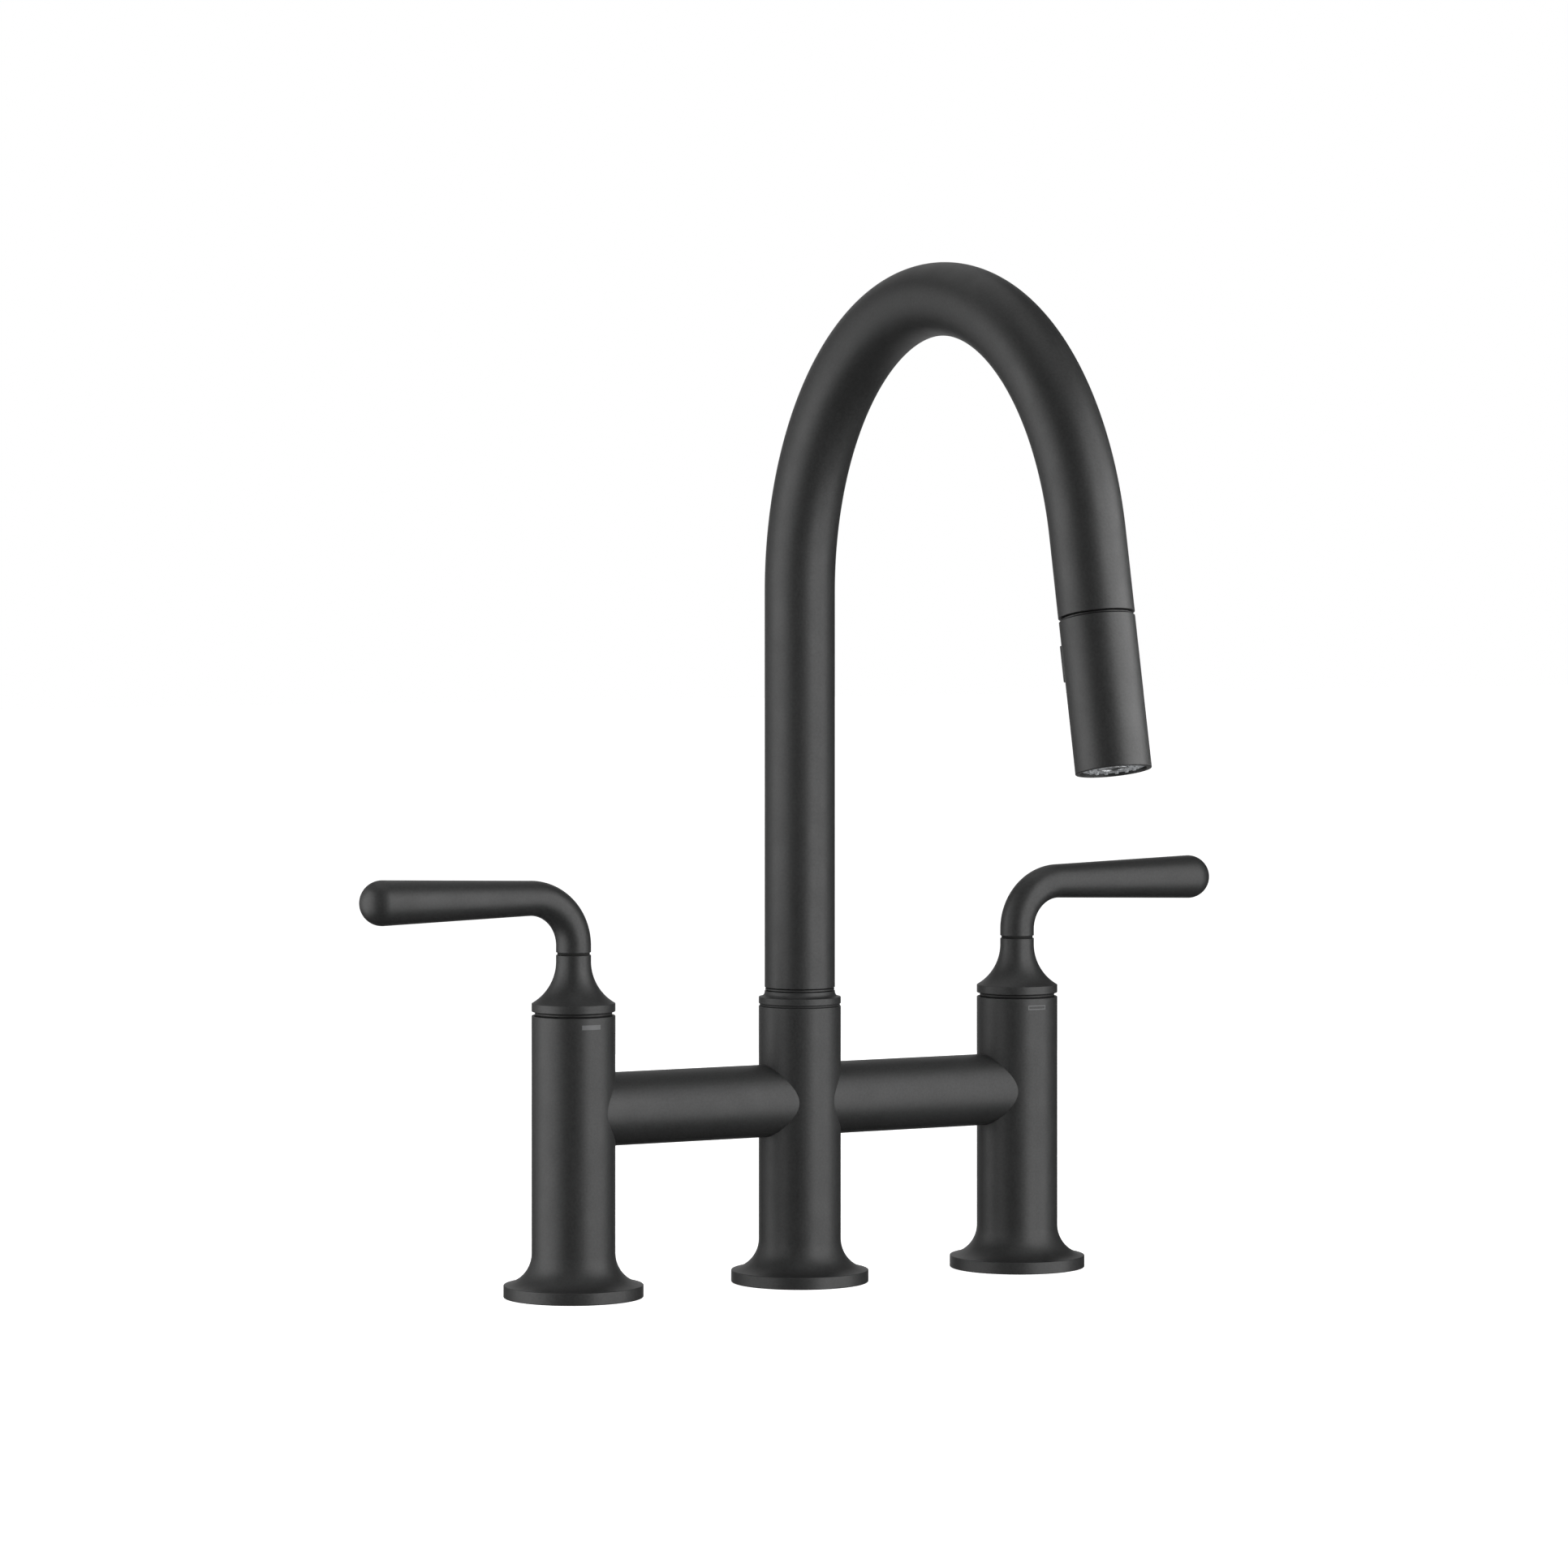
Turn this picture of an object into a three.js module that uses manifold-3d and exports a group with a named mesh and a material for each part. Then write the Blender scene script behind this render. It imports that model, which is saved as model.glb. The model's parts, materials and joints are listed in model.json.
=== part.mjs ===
// Bridge kitchen faucet: three posts on the deck, a bridge tube between each pair of them,
// two side levers, a swivelling gooseneck and a pull-down spray head.
// Millimetres, +Z up. The origin is the centre of the centre post's foot, on the deck.
// +X runs along the bridge to the user's right, and -Y points at the sink and the user.

import * as THREE from 'three';
import { mergeVertices } from 'three/addons/utils/BufferGeometryUtils.js';
import Module from 'manifold-3d';

const wasm = await Module();
wasm.setup();

// ---------------------------------------------------------------- driving dimensions

// Clearances
const REST_GAP = 0.3; // between two pieces that touch on the real faucet
const SLIP_GAP = 0.2; // above and below the thin swivel flange

// Posts and feet
const POST_SPACING = 100; // centre post to each side post
const POST_RADIUS = 16.35;
const POST_HEIGHT = 109.8;
const FOOT_RADIUS = 27.35;
const FOOT_EDGE = 4.8; // upright rim of the foot
const FOOT_FLARE = 12.4; // height of the concave sweep above the rim

// Seal under each foot
const SEAL_INNER_RADIUS = 19.5;
const SEAL_OUTER_RADIUS = 23.9;
const SEAL_THICKNESS = 1.6;

// Bridge
const BRIDGE_DROP = 37.3; // post top down to the bridge axis
const BRIDGE_RADIUS = 14.35;
const BRIDGE_WALL = 3;
const SPIGOT_WALL = 2;
const SPIGOT_INSET = 0.6; // from the post's bore to the spigot's end
const SPIGOT_REACH = 8; // past the post's wall, into the bridge tube
const ORING_SECTION = 0.65;
const ORING_SET_BACK = 4; // from the post's wall to the ring

// Side post insides
const SIDE_BORE = 11;
const CARTRIDGE_SOCKET = 12.5;
const SEAT_LAND = 2.7; // above the bridge port, under the cartridge
const NIPPLE_SOCKET = 12.6;
const NIPPLE_LENGTH = 29.4;
const NIPPLE_WALL = 3.8;
const DECK_RECESS = 0.3; // how far the inserts stay above the deck

// Cartridges
const NUT_HEIGHT = 5.5;
const NUT_RECESS = 0.4; // below the post top
const NUT_BORE = 5.5;
const DISC_CAVITY_RADIUS = 9.2;
const DISC_CAVITY_HEIGHT = 6;
const FIXED_DISC_PORT = 2.5;
const FIXED_DISC_THICKNESS = 1.6;
const MOVING_DISC_THICKNESS = 1.8;
const DISC_CLEARANCE = 0.6; // discs to the cavity's wall
const SPINDLE_RADIUS = 4;
const SPINDLE_FOOT_RADIUS = 7.5;
const SPINDLE_FOOT_HEIGHT = 1.3;

// Hubs
const HUB_GAP = 1.5; // post top to hub, where the glide ring shows
const GLIDE_RING_OUTER = 15.1;
const GLIDE_RING_INNER = 12.8;
const HUB_RIM = 3.2;
const HUB_BELL = 16.35; // height of the concave bell
const HUB_NECK = 2.5; // straight top of the bell
const HUB_RECESS_RADIUS = 12.4;
const HUB_RECESS_DEPTH = 1.6;
const HUB_CONE_DEPTH = 4.6;
const SPINDLE_GRIP = 13.5; // from the hub's lower face to the spindle's tip
const HUB_SCREW_RADIUS = 1.9;
const HUB_SCREW_LENGTH = 4.5;
const HUB_SCREW_HEIGHT = 9.3; // above the hub's lower face

// Levers
const NECK_RADIUS = 6.85;
const LEVER_GROOVE = 1;
const LEVER_SHOULDER_RADIUS = 6.4;
const LEVER_STUB = 2.6;
const ELBOW_RADIUS = 19;
const LEVER_REACH = 81.5; // post axis to the centre of the ball end
const LEVER_BALL_RADIUS = 8.82;
const STUD_RADIUS = 2.5;
const STUD_SOCKET_DEPTH = 7;

// Centre post insides
const CENTRE_BORE = 13.2;
const SWIVEL_SOCKET = 14.4;
const SWIVEL_DEPTH = 24;
const BLOCK_SOCKET = 14.6;
const BLOCK_HEIGHT = 12;
const BLOCK_OUTLET_RADIUS = 2.2;
const HOSE_BORE = 7;
const GUIDE_INNER_RADIUS = 8.6;
const GUIDE_WALL = 1.2;
const GUIDE_ENGAGEMENT = 6; // inside the spout shank

// Swivel
const COLLAR_GAP = 0.9; // post top to collar, where the bush's flange shows
const BUSH_FLANGE_RADIUS = 15.95;
const SHANK_WALL = 1.8;
const SHANK_ENGAGEMENT = 18; // inside the spout tube
const CLIP_GROOVE_RADIUS = 11.1;
const CLIP_RADIUS = 13.6;
const CLIP_THICKNESS = 1.4;
const CLIP_HEIGHT = 1.8; // above the shank's lower end

// Spout collar and trim ring
const COLLAR_RIM = 2.75;
const COLLAR_COVE = 1.95;
const COLLAR_LIP = 0.4;
const TRIM_RING_RADIUS = 13.75;
const TRIM_RING_HEIGHT = 0.7;

// Gooseneck
const SPOUT_RADIUS = 14;
const SPOUT_WALL = 1.8;
const RISER_TOP = 274.5; // height at which the bend starts
const BEND_RADIUS = 112.5;
const BEND_ANGLE = THREE.MathUtils.degToRad(168);
const SPOUT_TAIL = 30.55; // straight end after the bend

// Hose
const HOSE_RADIUS = 6.2;
const HOSE_WALL = 2;
const HOSE_DECK_GAP = 0.6;
const HOSE_END_GAP = 6.5; // hose end to the spout's mouth

// Dock inside the spout's mouth, measured up from the mouth
const DOCK_RADIAL_WALL = 1.3;
const DOCK_LIP_INNER = 8.6;
const DOCK_LIP_LENGTH = 3;
const DOCK_LENGTH = 13.3;
const DOCK_SET_BACK = 11.25;
const MAGNET_LENGTH = 9.7;
const STEEL_RING_THICKNESS = 1.9;

// Spray head, measured along its own axis
const HEAD_RADIUS = 13.9;
const HEAD_WALL = 1.8;
const HEAD_LENGTH = 56.2;
const HEAD_JOINT = 1.2; // groove between the spout's mouth and the shell
const NECK_FLANGE_RADIUS = 13.5;
const NECK_BORE = 8.2;
const NECK_DEPTH = 5.7; // inside the shell
const CONNECTOR_BORE = 3;
const FERRULE_LENGTH = 9;
const VALVE_LENGTH = 4.5;
const VALVE_BORE = 2.5;
const DIVERTER_BORE = 3;
const DIVERTER_WAIST_RADIUS = 8.1;
const DIVERTER_WAIST_LENGTH = 17.5;
const DIVERTER_LENGTH = 42.3;
const PLATE_THICKNESS = 4.9;
const PLATE_RECESS = 1; // plate face above the shell's lower edge
const PLATE_HOLE = 5.7;
const NOZZLE_COUNT = 14;
const NOZZLE_CIRCLE = 8.7;
const NOZZLE_BASE_RADIUS = 0.95;
const NOZZLE_TIP_RADIUS = 0.6;
const NOZZLE_HEIGHT = 0.8;
const AERATOR_PROUD = 0.3; // of the plate's face
const AERATOR_LENGTH = 5.6;
const AERATOR_FACE_RADIUS = 4.2;
const AERATOR_FACE_DEPTH = 0.5;

// Spray button, on the head's side that faces the post
const BUTTON_WIDTH = 15.8;
const BUTTON_LENGTH = 13.5;
const BUTTON_START = 7.15; // below the shell's upper edge
const BUTTON_EDGE = 15.1; // head axis to the button's side edges
const BUTTON_CROWN = 15.6; // head axis to the middle of its face
const BUTTON_BACK = 9.3; // head axis to its inner face
const BUTTON_LIP_THICKNESS = 0.8;
const BUTTON_LIP_WIDTH = 12;
const BUTTON_LIP_REACH = 1.2;
const PLUNGER_RADIUS = 1.8;
const PLUNGER_TIP = 4.6; // head axis to the plunger's tip
const PLUNGER_BORE_FLOOR = 3;
const SPRING_RADIUS = 3.8;
const SPRING_WALL = 1.1;
const SPRING_POCKET_DEPTH = 4;

// Facets
const ROUND_SIDES = 24; // pieces that show
const INNER_SIDES = 16;
const SMALL_SIDES = 12;
const SADDLE_SIDES = 48;
const ORING_SIDES = 4;
const NOZZLE_SIDES = 5;
const FLARE_STEPS = 5;
const COVE_STEPS = 3;
const BEND_STEPS = 24;
const ELBOW_STEPS = 8;
const BALL_STEPS = 5;
const CROWN_STEPS = 6;
const LEVER_SIDES = 16;
const HOSE_SIDES = 8;
const CUT_MARGIN = 1; // how far a cutter runs past what it cuts

// ---------------------------------------------------------------- worked-out levels

const bridgeHeight = POST_HEIGHT - BRIDGE_DROP;
const portRadius = BRIDGE_RADIUS - BRIDGE_WALL;
const spigotRadius = portRadius - REST_GAP / 2;
const seatHeight = bridgeHeight + portRadius + SEAT_LAND;
const cartridgeLow = seatHeight + REST_GAP;
const nutHigh = POST_HEIGHT - NUT_RECESS;
const nutLow = nutHigh - NUT_HEIGHT;
const cartridgeHigh = nutLow - REST_GAP;
const fixedDiscLow = cartridgeLow + REST_GAP;
const movingDiscLow = fixedDiscLow + FIXED_DISC_THICKNESS + REST_GAP;
const spindleLow = movingDiscLow + MOVING_DISC_THICKNESS + REST_GAP;

const hubLow = POST_HEIGHT + HUB_GAP;
const hubBellLow = hubLow + HUB_RIM;
const hubHigh = hubBellLow + HUB_BELL + HUB_NECK;
const spindleHigh = hubLow + SPINDLE_GRIP;
const leverLow = hubHigh + LEVER_GROOVE;
const elbowLow = leverLow + LEVER_STUB;
const leverAxisHeight = elbowLow + ELBOW_RADIUS;
const spindleHole = SPINDLE_RADIUS + REST_GAP;
const studHole = STUD_RADIUS + REST_GAP;

const spoutBore = SPOUT_RADIUS - SPOUT_WALL;
const shankRadius = spoutBore - REST_GAP;
const shankBore = shankRadius - SHANK_WALL;
const collarBore = shankRadius + REST_GAP;
const swivelStep = POST_HEIGHT - SWIVEL_DEPTH;
const shankLow = swivelStep + REST_GAP;
const clipLow = shankLow + CLIP_HEIGHT;
const clipHigh = clipLow + CLIP_THICKNESS;
const collarLow = POST_HEIGHT + COLLAR_GAP;
const collarHigh = collarLow + COLLAR_RIM + COLLAR_COVE + COLLAR_LIP;
const trimRingLow = collarHigh + REST_GAP;
const trimRingHigh = trimRingLow + TRIM_RING_HEIGHT;
const spoutLow = trimRingHigh + REST_GAP;

const headTilt = Math.PI - BEND_ANGLE;
const hoseTail = SPOUT_TAIL - HOSE_END_GAP;
const dockHigh = SPOUT_TAIL - DOCK_SET_BACK - DOCK_LENGTH;
const dockEnd = dockHigh + DOCK_LENGTH;
const steelRingStart = dockEnd + REST_GAP;
const neckStart = steelRingStart + STEEL_RING_THICKNESS + REST_GAP;
const shellStart = SPOUT_TAIL + HEAD_JOINT;
const shellEnd = shellStart + HEAD_LENGTH;
const shellBore = HEAD_RADIUS - HEAD_WALL;
const insertRadius = shellBore - REST_GAP;
const neckEnd = shellStart + NECK_DEPTH;
const valveEnd = neckEnd;
const connectorEnd = valveEnd - VALVE_LENGTH - REST_GAP;
const diverterStart = neckEnd + REST_GAP;
const diverterEnd = diverterStart + DIVERTER_LENGTH;
const plateFace = shellEnd - PLATE_RECESS;
const buttonStart = shellStart + BUTTON_START;
const buttonMiddle = buttonStart + BUTTON_LENGTH / 2;

// ---------------------------------------------------------------- finishes

const FINISHES = {
  matteBlack: { color: 0x2c2d2d, roughness: 0.55, metalness: 0.35 },
  blackPlastic: { color: 0x161617, roughness: 0.6, metalness: 0 },
  brass: { color: 0xb08d4a, roughness: 0.35, metalness: 1 },
  steel: { color: 0xb4b6b8, roughness: 0.3, metalness: 1 },
  ceramic: { color: 0xe8e6df, roughness: 0.25, metalness: 0 },
  rubber: { color: 0x1c1c1c, roughness: 0.9, metalness: 0 },
  greyPlastic: { color: 0x8d9092, roughness: 0.45, metalness: 0 },
  hoseNylon: { color: 0x55585b, roughness: 0.8, metalness: 0 },
};

const faucet = new THREE.Group();

// Adds one named piece to a group, in its own copy of a finish.
function addPiece(group, name, geometry, finish) {
  const piece = new THREE.Mesh(geometry, new THREE.MeshStandardMaterial(FINISHES[finish]));
  piece.name = name;
  group.add(piece);
  return piece;
}

// ---------------------------------------------------------------- shape helpers

// Turns a profile of [radius, height] points about Z. The points run counter-clockwise,
// and a profile that stays off the axis closes on itself.
function turned(profile, sides = ROUND_SIDES) {
  const points = profile.map(([radius, height]) => new THREE.Vector2(radius, height));
  if (profile[0][0] > 0) points.push(points[0].clone());
  return new THREE.LatheGeometry(points, sides).rotateX(Math.PI / 2);
}

function ring(inner, outer, low, high, sides) {
  return turned([[inner, low], [outer, low], [outer, high], [inner, high]], sides);
}

function rod(radius, low, high, sides) {
  return turned([[0, low], [radius, low], [radius, high], [0, high]], sides);
}

// A concave sweep from a rim up to a narrower neck, where it ends upright.
function flare(neckRadius, rimRadius, rimHeight, rise, steps) {
  const spread = rimRadius - neckRadius;
  const arcRadius = (spread ** 2 + rise ** 2) / (2 * spread);
  const sweep = Math.atan2(rise, arcRadius - spread);
  return Array.from({ length: steps + 1 }, (_, step) => {
    const angle = sweep * (1 - step / steps);
    return [
      neckRadius + arcRadius * (1 - Math.cos(angle)),
      rimHeight + rise - arcRadius * Math.sin(angle),
    ];
  });
}

// A path that is stepped exactly at its stations, so that a straight run takes one step.
class StationPath extends THREE.Curve {
  constructor(stations) {
    super();
    this.stations = stations;
  }

  get steps() {
    return this.stations.length - 1;
  }

  getPointAt(share) {
    return this.stations[Math.round(share * this.steps)].point.clone();
  }

  getTangentAt(share) {
    return this.stations[Math.round(share * this.steps)].tangent.clone();
  }
}

// A round tube, or a rod where the bore is 0, along a path.
function swept(path, radius, bore, sides) {
  const section = new THREE.Shape().absarc(0, 0, radius, 0, 2 * Math.PI, false);
  if (bore > 0) section.holes.push(new THREE.Path().absarc(0, 0, bore, 0, 2 * Math.PI, true));
  return new THREE.ExtrudeGeometry(section, {
    extrudePath: path,
    steps: path.steps,
    curveSegments: sides / 2,
  });
}

// The spout's centre line: up the riser, round the bend and down its straight tail.
function gooseneckPath(lowHeight, tailLength) {
  const up = new THREE.Vector3(0, 0, 1);
  const stations = [{ point: new THREE.Vector3(0, 0, lowHeight), tangent: up }];
  for (let step = 0; step <= BEND_STEPS; step += 1) {
    const angle = (BEND_ANGLE * step) / BEND_STEPS;
    const across = BEND_RADIUS * (Math.cos(angle) - 1);
    const point = new THREE.Vector3(0, across, RISER_TOP + BEND_RADIUS * Math.sin(angle));
    stations.push({ point, tangent: new THREE.Vector3(0, -Math.sin(angle), Math.cos(angle)) });
  }
  const bendEnd = stations[stations.length - 1];
  const tailEnd = bendEnd.point.clone().addScaledVector(bendEnd.tangent, tailLength);
  stations.push({ point: tailEnd, tangent: bendEnd.tangent });
  return new StationPath(stations);
}

// ---------------------------------------------------------------- cuts and joins

// A closed mesh as a solid, without the flat triangles that a profile leaves on its axis.
function toSolid(geometry) {
  const bare = geometry.clone();
  bare.deleteAttribute('normal');
  bare.deleteAttribute('uv');
  const merged = mergeVertices(bare);
  const corners = merged.index.array;
  const triangles = [];
  for (let i = 0; i < corners.length; i += 3) {
    const [a, b, c] = corners.slice(i, i + 3);
    if (a !== b && b !== c && c !== a) triangles.push(a, b, c);
  }
  return new wasm.Manifold(new wasm.Mesh({
    numProp: 3,
    vertProperties: new Float32Array(merged.attributes.position.array),
    triVerts: new Uint32Array(triangles),
  }));
}

function toGeometry(solid) {
  const mesh = solid.getMesh();
  const geometry = new THREE.BufferGeometry();
  geometry.setAttribute('position', new THREE.BufferAttribute(mesh.vertProperties, 3));
  geometry.setIndex(new THREE.BufferAttribute(mesh.triVerts, 1));
  geometry.computeVertexNormals();
  return geometry;
}

function cut(body, ...cutters) {
  return toGeometry(cutters.reduce((solid, cutter) => solid.subtract(toSolid(cutter)), toSolid(body)));
}

function join(...bodies) {
  return toGeometry(bodies.slice(1).reduce((solid, body) => solid.add(toSolid(body)), toSolid(bodies[0])));
}

// ---------------------------------------------------------------- posts

// A post's profile round its outside, with the seal groove under its foot.
// The inside is given from the top down, and its last point is at the deck.
function postProfile(inside) {
  const grooveDepth = SEAL_THICKNESS + REST_GAP;
  const grooveInner = SEAL_INNER_RADIUS - REST_GAP;
  const grooveOuter = SEAL_OUTER_RADIUS + REST_GAP;
  return [
    [grooveInner, 0],
    [grooveInner, grooveDepth],
    [grooveOuter, grooveDepth],
    [grooveOuter, 0],
    [FOOT_RADIUS, 0],
    ...flare(POST_RADIUS, FOOT_RADIUS, FOOT_EDGE, FOOT_FLARE, FLARE_STEPS),
    [POST_RADIUS, POST_HEIGHT],
    ...inside,
  ];
}

// A hole through a post's wall for the bridge, on the side that inward points to.
function bridgePort(inward) {
  const length = POST_RADIUS + CUT_MARGIN;
  const port = rod(portRadius, 0, length, ROUND_SIDES).rotateY((inward * Math.PI) / 2);
  return port.translate(0, 0, bridgeHeight);
}

function sidePost(inward) {
  const nippleTop = DECK_RECESS + NIPPLE_LENGTH + REST_GAP;
  const body = turned(postProfile([
    [CARTRIDGE_SOCKET, POST_HEIGHT],
    [CARTRIDGE_SOCKET, seatHeight],
    [SIDE_BORE, seatHeight],
    [SIDE_BORE, nippleTop],
    [NIPPLE_SOCKET, nippleTop],
    [NIPPLE_SOCKET, 0],
  ]));
  return cut(body, bridgePort(inward));
}

function centrePost() {
  const blockTop = DECK_RECESS + BLOCK_HEIGHT + REST_GAP;
  const body = turned(postProfile([
    [SWIVEL_SOCKET, POST_HEIGHT],
    [SWIVEL_SOCKET, swivelStep],
    [CENTRE_BORE, swivelStep],
    [CENTRE_BORE, blockTop],
    [BLOCK_SOCKET, blockTop],
    [BLOCK_SOCKET, 0],
  ]));
  return cut(body, bridgePort(-1), bridgePort(1));
}

function baseSeal() {
  return ring(SEAL_INNER_RADIUS, SEAL_OUTER_RADIUS, 0, SEAL_THICKNESS);
}

// ---------------------------------------------------------------- bridge

// A tube from the centre post to a side post, its ends shaped to the posts' walls.
function bridgeTube(side) {
  const tube = ring(portRadius, BRIDGE_RADIUS, 0, POST_SPACING).rotateY((side * Math.PI) / 2);
  const halfHeight = BRIDGE_RADIUS + CUT_MARGIN;
  const saddle = rod(POST_RADIUS + REST_GAP, -halfHeight, halfHeight, SADDLE_SIDES);
  return cut(tube, saddle, saddle.clone().translate(side * POST_SPACING, 0, 0));
}

// A spigot lies along +X from the axis of its post, and carries its ring in a groove.
function spigot(postBore) {
  const start = postBore + SPIGOT_INSET;
  const end = POST_RADIUS + SPIGOT_REACH;
  const ringMiddle = POST_RADIUS + ORING_SET_BACK;
  const grooveHalf = ORING_SECTION + REST_GAP;
  const grooveRadius = spigotRadius - 2 * ORING_SECTION;
  return turned([
    [spigotRadius - SPIGOT_WALL, start],
    [spigotRadius, start],
    [spigotRadius, ringMiddle - grooveHalf],
    [grooveRadius, ringMiddle - grooveHalf],
    [grooveRadius, ringMiddle + grooveHalf],
    [spigotRadius, ringMiddle + grooveHalf],
    [spigotRadius, end],
    [spigotRadius - SPIGOT_WALL, end],
  ], SMALL_SIDES).rotateY(Math.PI / 2);
}

function spigotRing() {
  const grooveRadius = spigotRadius - 2 * ORING_SECTION;
  const ringRadius = grooveRadius + ORING_SECTION + REST_GAP / 2;
  const body = new THREE.TorusGeometry(ringRadius, ORING_SECTION, ORING_SIDES, SMALL_SIDES);
  return body.rotateY(Math.PI / 2).translate(POST_RADIUS + ORING_SET_BACK, 0, 0);
}

// ---------------------------------------------------------------- valves

function inletNipple() {
  const outer = NIPPLE_SOCKET - REST_GAP;
  return ring(outer - NIPPLE_WALL, outer, DECK_RECESS, DECK_RECESS + NIPPLE_LENGTH, INNER_SIDES);
}

function cartridge() {
  const outer = CARTRIDGE_SOCKET - REST_GAP;
  const cavityTop = cartridgeLow + DISC_CAVITY_HEIGHT;
  return turned([
    [DISC_CAVITY_RADIUS, cartridgeLow],
    [outer, cartridgeLow],
    [outer, cartridgeHigh],
    [spindleHole, cartridgeHigh],
    [spindleHole, cavityTop],
    [DISC_CAVITY_RADIUS, cavityTop],
  ], INNER_SIDES);
}

function cartridgeNut() {
  return ring(NUT_BORE, CARTRIDGE_SOCKET - REST_GAP, nutLow, nutHigh, SMALL_SIDES);
}

function fixedDisc() {
  const radius = DISC_CAVITY_RADIUS - DISC_CLEARANCE;
  return ring(FIXED_DISC_PORT, radius, fixedDiscLow, fixedDiscLow + FIXED_DISC_THICKNESS, SMALL_SIDES);
}

function movingDisc() {
  const radius = DISC_CAVITY_RADIUS - DISC_CLEARANCE;
  return rod(radius, movingDiscLow, movingDiscLow + MOVING_DISC_THICKNESS, SMALL_SIDES);
}

function spindle() {
  const footTop = spindleLow + SPINDLE_FOOT_HEIGHT;
  return turned([
    [0, spindleLow],
    [SPINDLE_FOOT_RADIUS, spindleLow],
    [SPINDLE_FOOT_RADIUS, footTop],
    [SPINDLE_RADIUS, footTop],
    [SPINDLE_RADIUS, spindleHigh],
    [0, spindleHigh],
  ], SMALL_SIDES);
}

function glideRing() {
  return ring(GLIDE_RING_INNER, GLIDE_RING_OUTER, POST_HEIGHT + REST_GAP, hubLow - REST_GAP, INNER_SIDES);
}

// ---------------------------------------------------------------- levers

// The bell-shaped hub, hollow below, with a screw hole in its back.
function hub() {
  const coneTop = hubLow + HUB_RECESS_DEPTH + HUB_CONE_DEPTH;
  const body = turned([
    [HUB_RECESS_RADIUS, hubLow],
    [POST_RADIUS, hubLow],
    ...flare(NECK_RADIUS, POST_RADIUS, hubBellLow, HUB_BELL, FLARE_STEPS),
    [NECK_RADIUS, hubHigh],
    [studHole, hubHigh],
    [studHole, spindleHigh + REST_GAP],
    [spindleHole, spindleHigh + REST_GAP],
    [spindleHole, coneTop],
    [HUB_RECESS_RADIUS, hubLow + HUB_RECESS_DEPTH],
  ]);
  const screwHole = rod(HUB_SCREW_RADIUS + REST_GAP, 0, POST_RADIUS, SMALL_SIDES).rotateX(-Math.PI / 2);
  return cut(body, screwHole.translate(0, 0, hubLow + HUB_SCREW_HEIGHT));
}

function hubScrew() {
  const body = rod(HUB_SCREW_RADIUS, spindleHole, spindleHole + HUB_SCREW_LENGTH, SMALL_SIDES);
  return body.rotateX(-Math.PI / 2).translate(0, 0, hubLow + HUB_SCREW_HEIGHT);
}

function leverStud() {
  const low = spindleHigh + 2 * REST_GAP;
  return rod(STUD_RADIUS, low, leverLow + STUD_SOCKET_DEPTH - REST_GAP, SMALL_SIDES);
}

// The stub and elbow below the arm, which run a little way into the arm's thin end.
function elbowPath() {
  const up = new THREE.Vector3(0, 0, 1);
  const stations = [{ point: new THREE.Vector3(0, 0, leverLow), tangent: up }];
  for (let step = 0; step <= ELBOW_STEPS; step += 1) {
    const angle = ((Math.PI / 2) * step) / ELBOW_STEPS;
    const across = ELBOW_RADIUS * (1 - Math.cos(angle));
    const point = new THREE.Vector3(across, 0, elbowLow + ELBOW_RADIUS * Math.sin(angle));
    stations.push({ point, tangent: new THREE.Vector3(Math.sin(angle), 0, Math.cos(angle)) });
  }
  const outward = new THREE.Vector3(1, 0, 0);
  const insideArm = new THREE.Vector3(ELBOW_RADIUS + CUT_MARGIN, 0, leverAxisHeight);
  stations.push({ point: insideArm, tangent: outward });
  return new StationPath(stations);
}

// The arm widens from the elbow to its ball end, and lies along +X.
function leverArm() {
  const length = LEVER_REACH - ELBOW_RADIUS;
  const slope = Math.atan2(LEVER_BALL_RADIUS - NECK_RADIUS, length);
  const ball = Array.from({ length: BALL_STEPS + 1 }, (_, step) => {
    const angle = (Math.PI / 2 + slope) * (1 - step / BALL_STEPS);
    return [LEVER_BALL_RADIUS * Math.sin(angle), LEVER_REACH + LEVER_BALL_RADIUS * Math.cos(angle)];
  });
  ball[BALL_STEPS][0] = 0;
  const arm = turned([[0, ELBOW_RADIUS], [NECK_RADIUS, ELBOW_RADIUS], ...ball], LEVER_SIDES);
  return arm.rotateY(Math.PI / 2).translate(0, 0, leverAxisHeight);
}

function lever() {
  const elbow = swept(elbowPath(), NECK_RADIUS, 0, LEVER_SIDES);
  const shoulder = rod(LEVER_SHOULDER_RADIUS, hubHigh + REST_GAP, leverLow + CUT_MARGIN, LEVER_SIDES);
  const socket = rod(studHole, hubHigh, leverLow + STUD_SOCKET_DEPTH, SMALL_SIDES);
  return cut(join(elbow, leverArm(), shoulder), socket);
}

// ---------------------------------------------------------------- centre post insides

// The brass plug in the centre foot: the hose passes its middle, mixed water its outlet.
function hoseBlock() {
  const outer = BLOCK_SOCKET - REST_GAP;
  const top = DECK_RECESS + BLOCK_HEIGHT;
  const outletPlace = (HOSE_BORE + outer) / 2;
  const outlet = rod(BLOCK_OUTLET_RADIUS, -CUT_MARGIN, top + CUT_MARGIN, SMALL_SIDES);
  return cut(ring(HOSE_BORE, outer, DECK_RECESS, top, INNER_SIDES), outlet.translate(0, outletPlace, 0));
}

function hoseGuide() {
  const low = DECK_RECESS + BLOCK_HEIGHT + REST_GAP;
  const high = shankLow + GUIDE_ENGAGEMENT;
  return ring(GUIDE_INNER_RADIUS, GUIDE_INNER_RADIUS + GUIDE_WALL, low, high, SMALL_SIDES);
}

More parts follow.
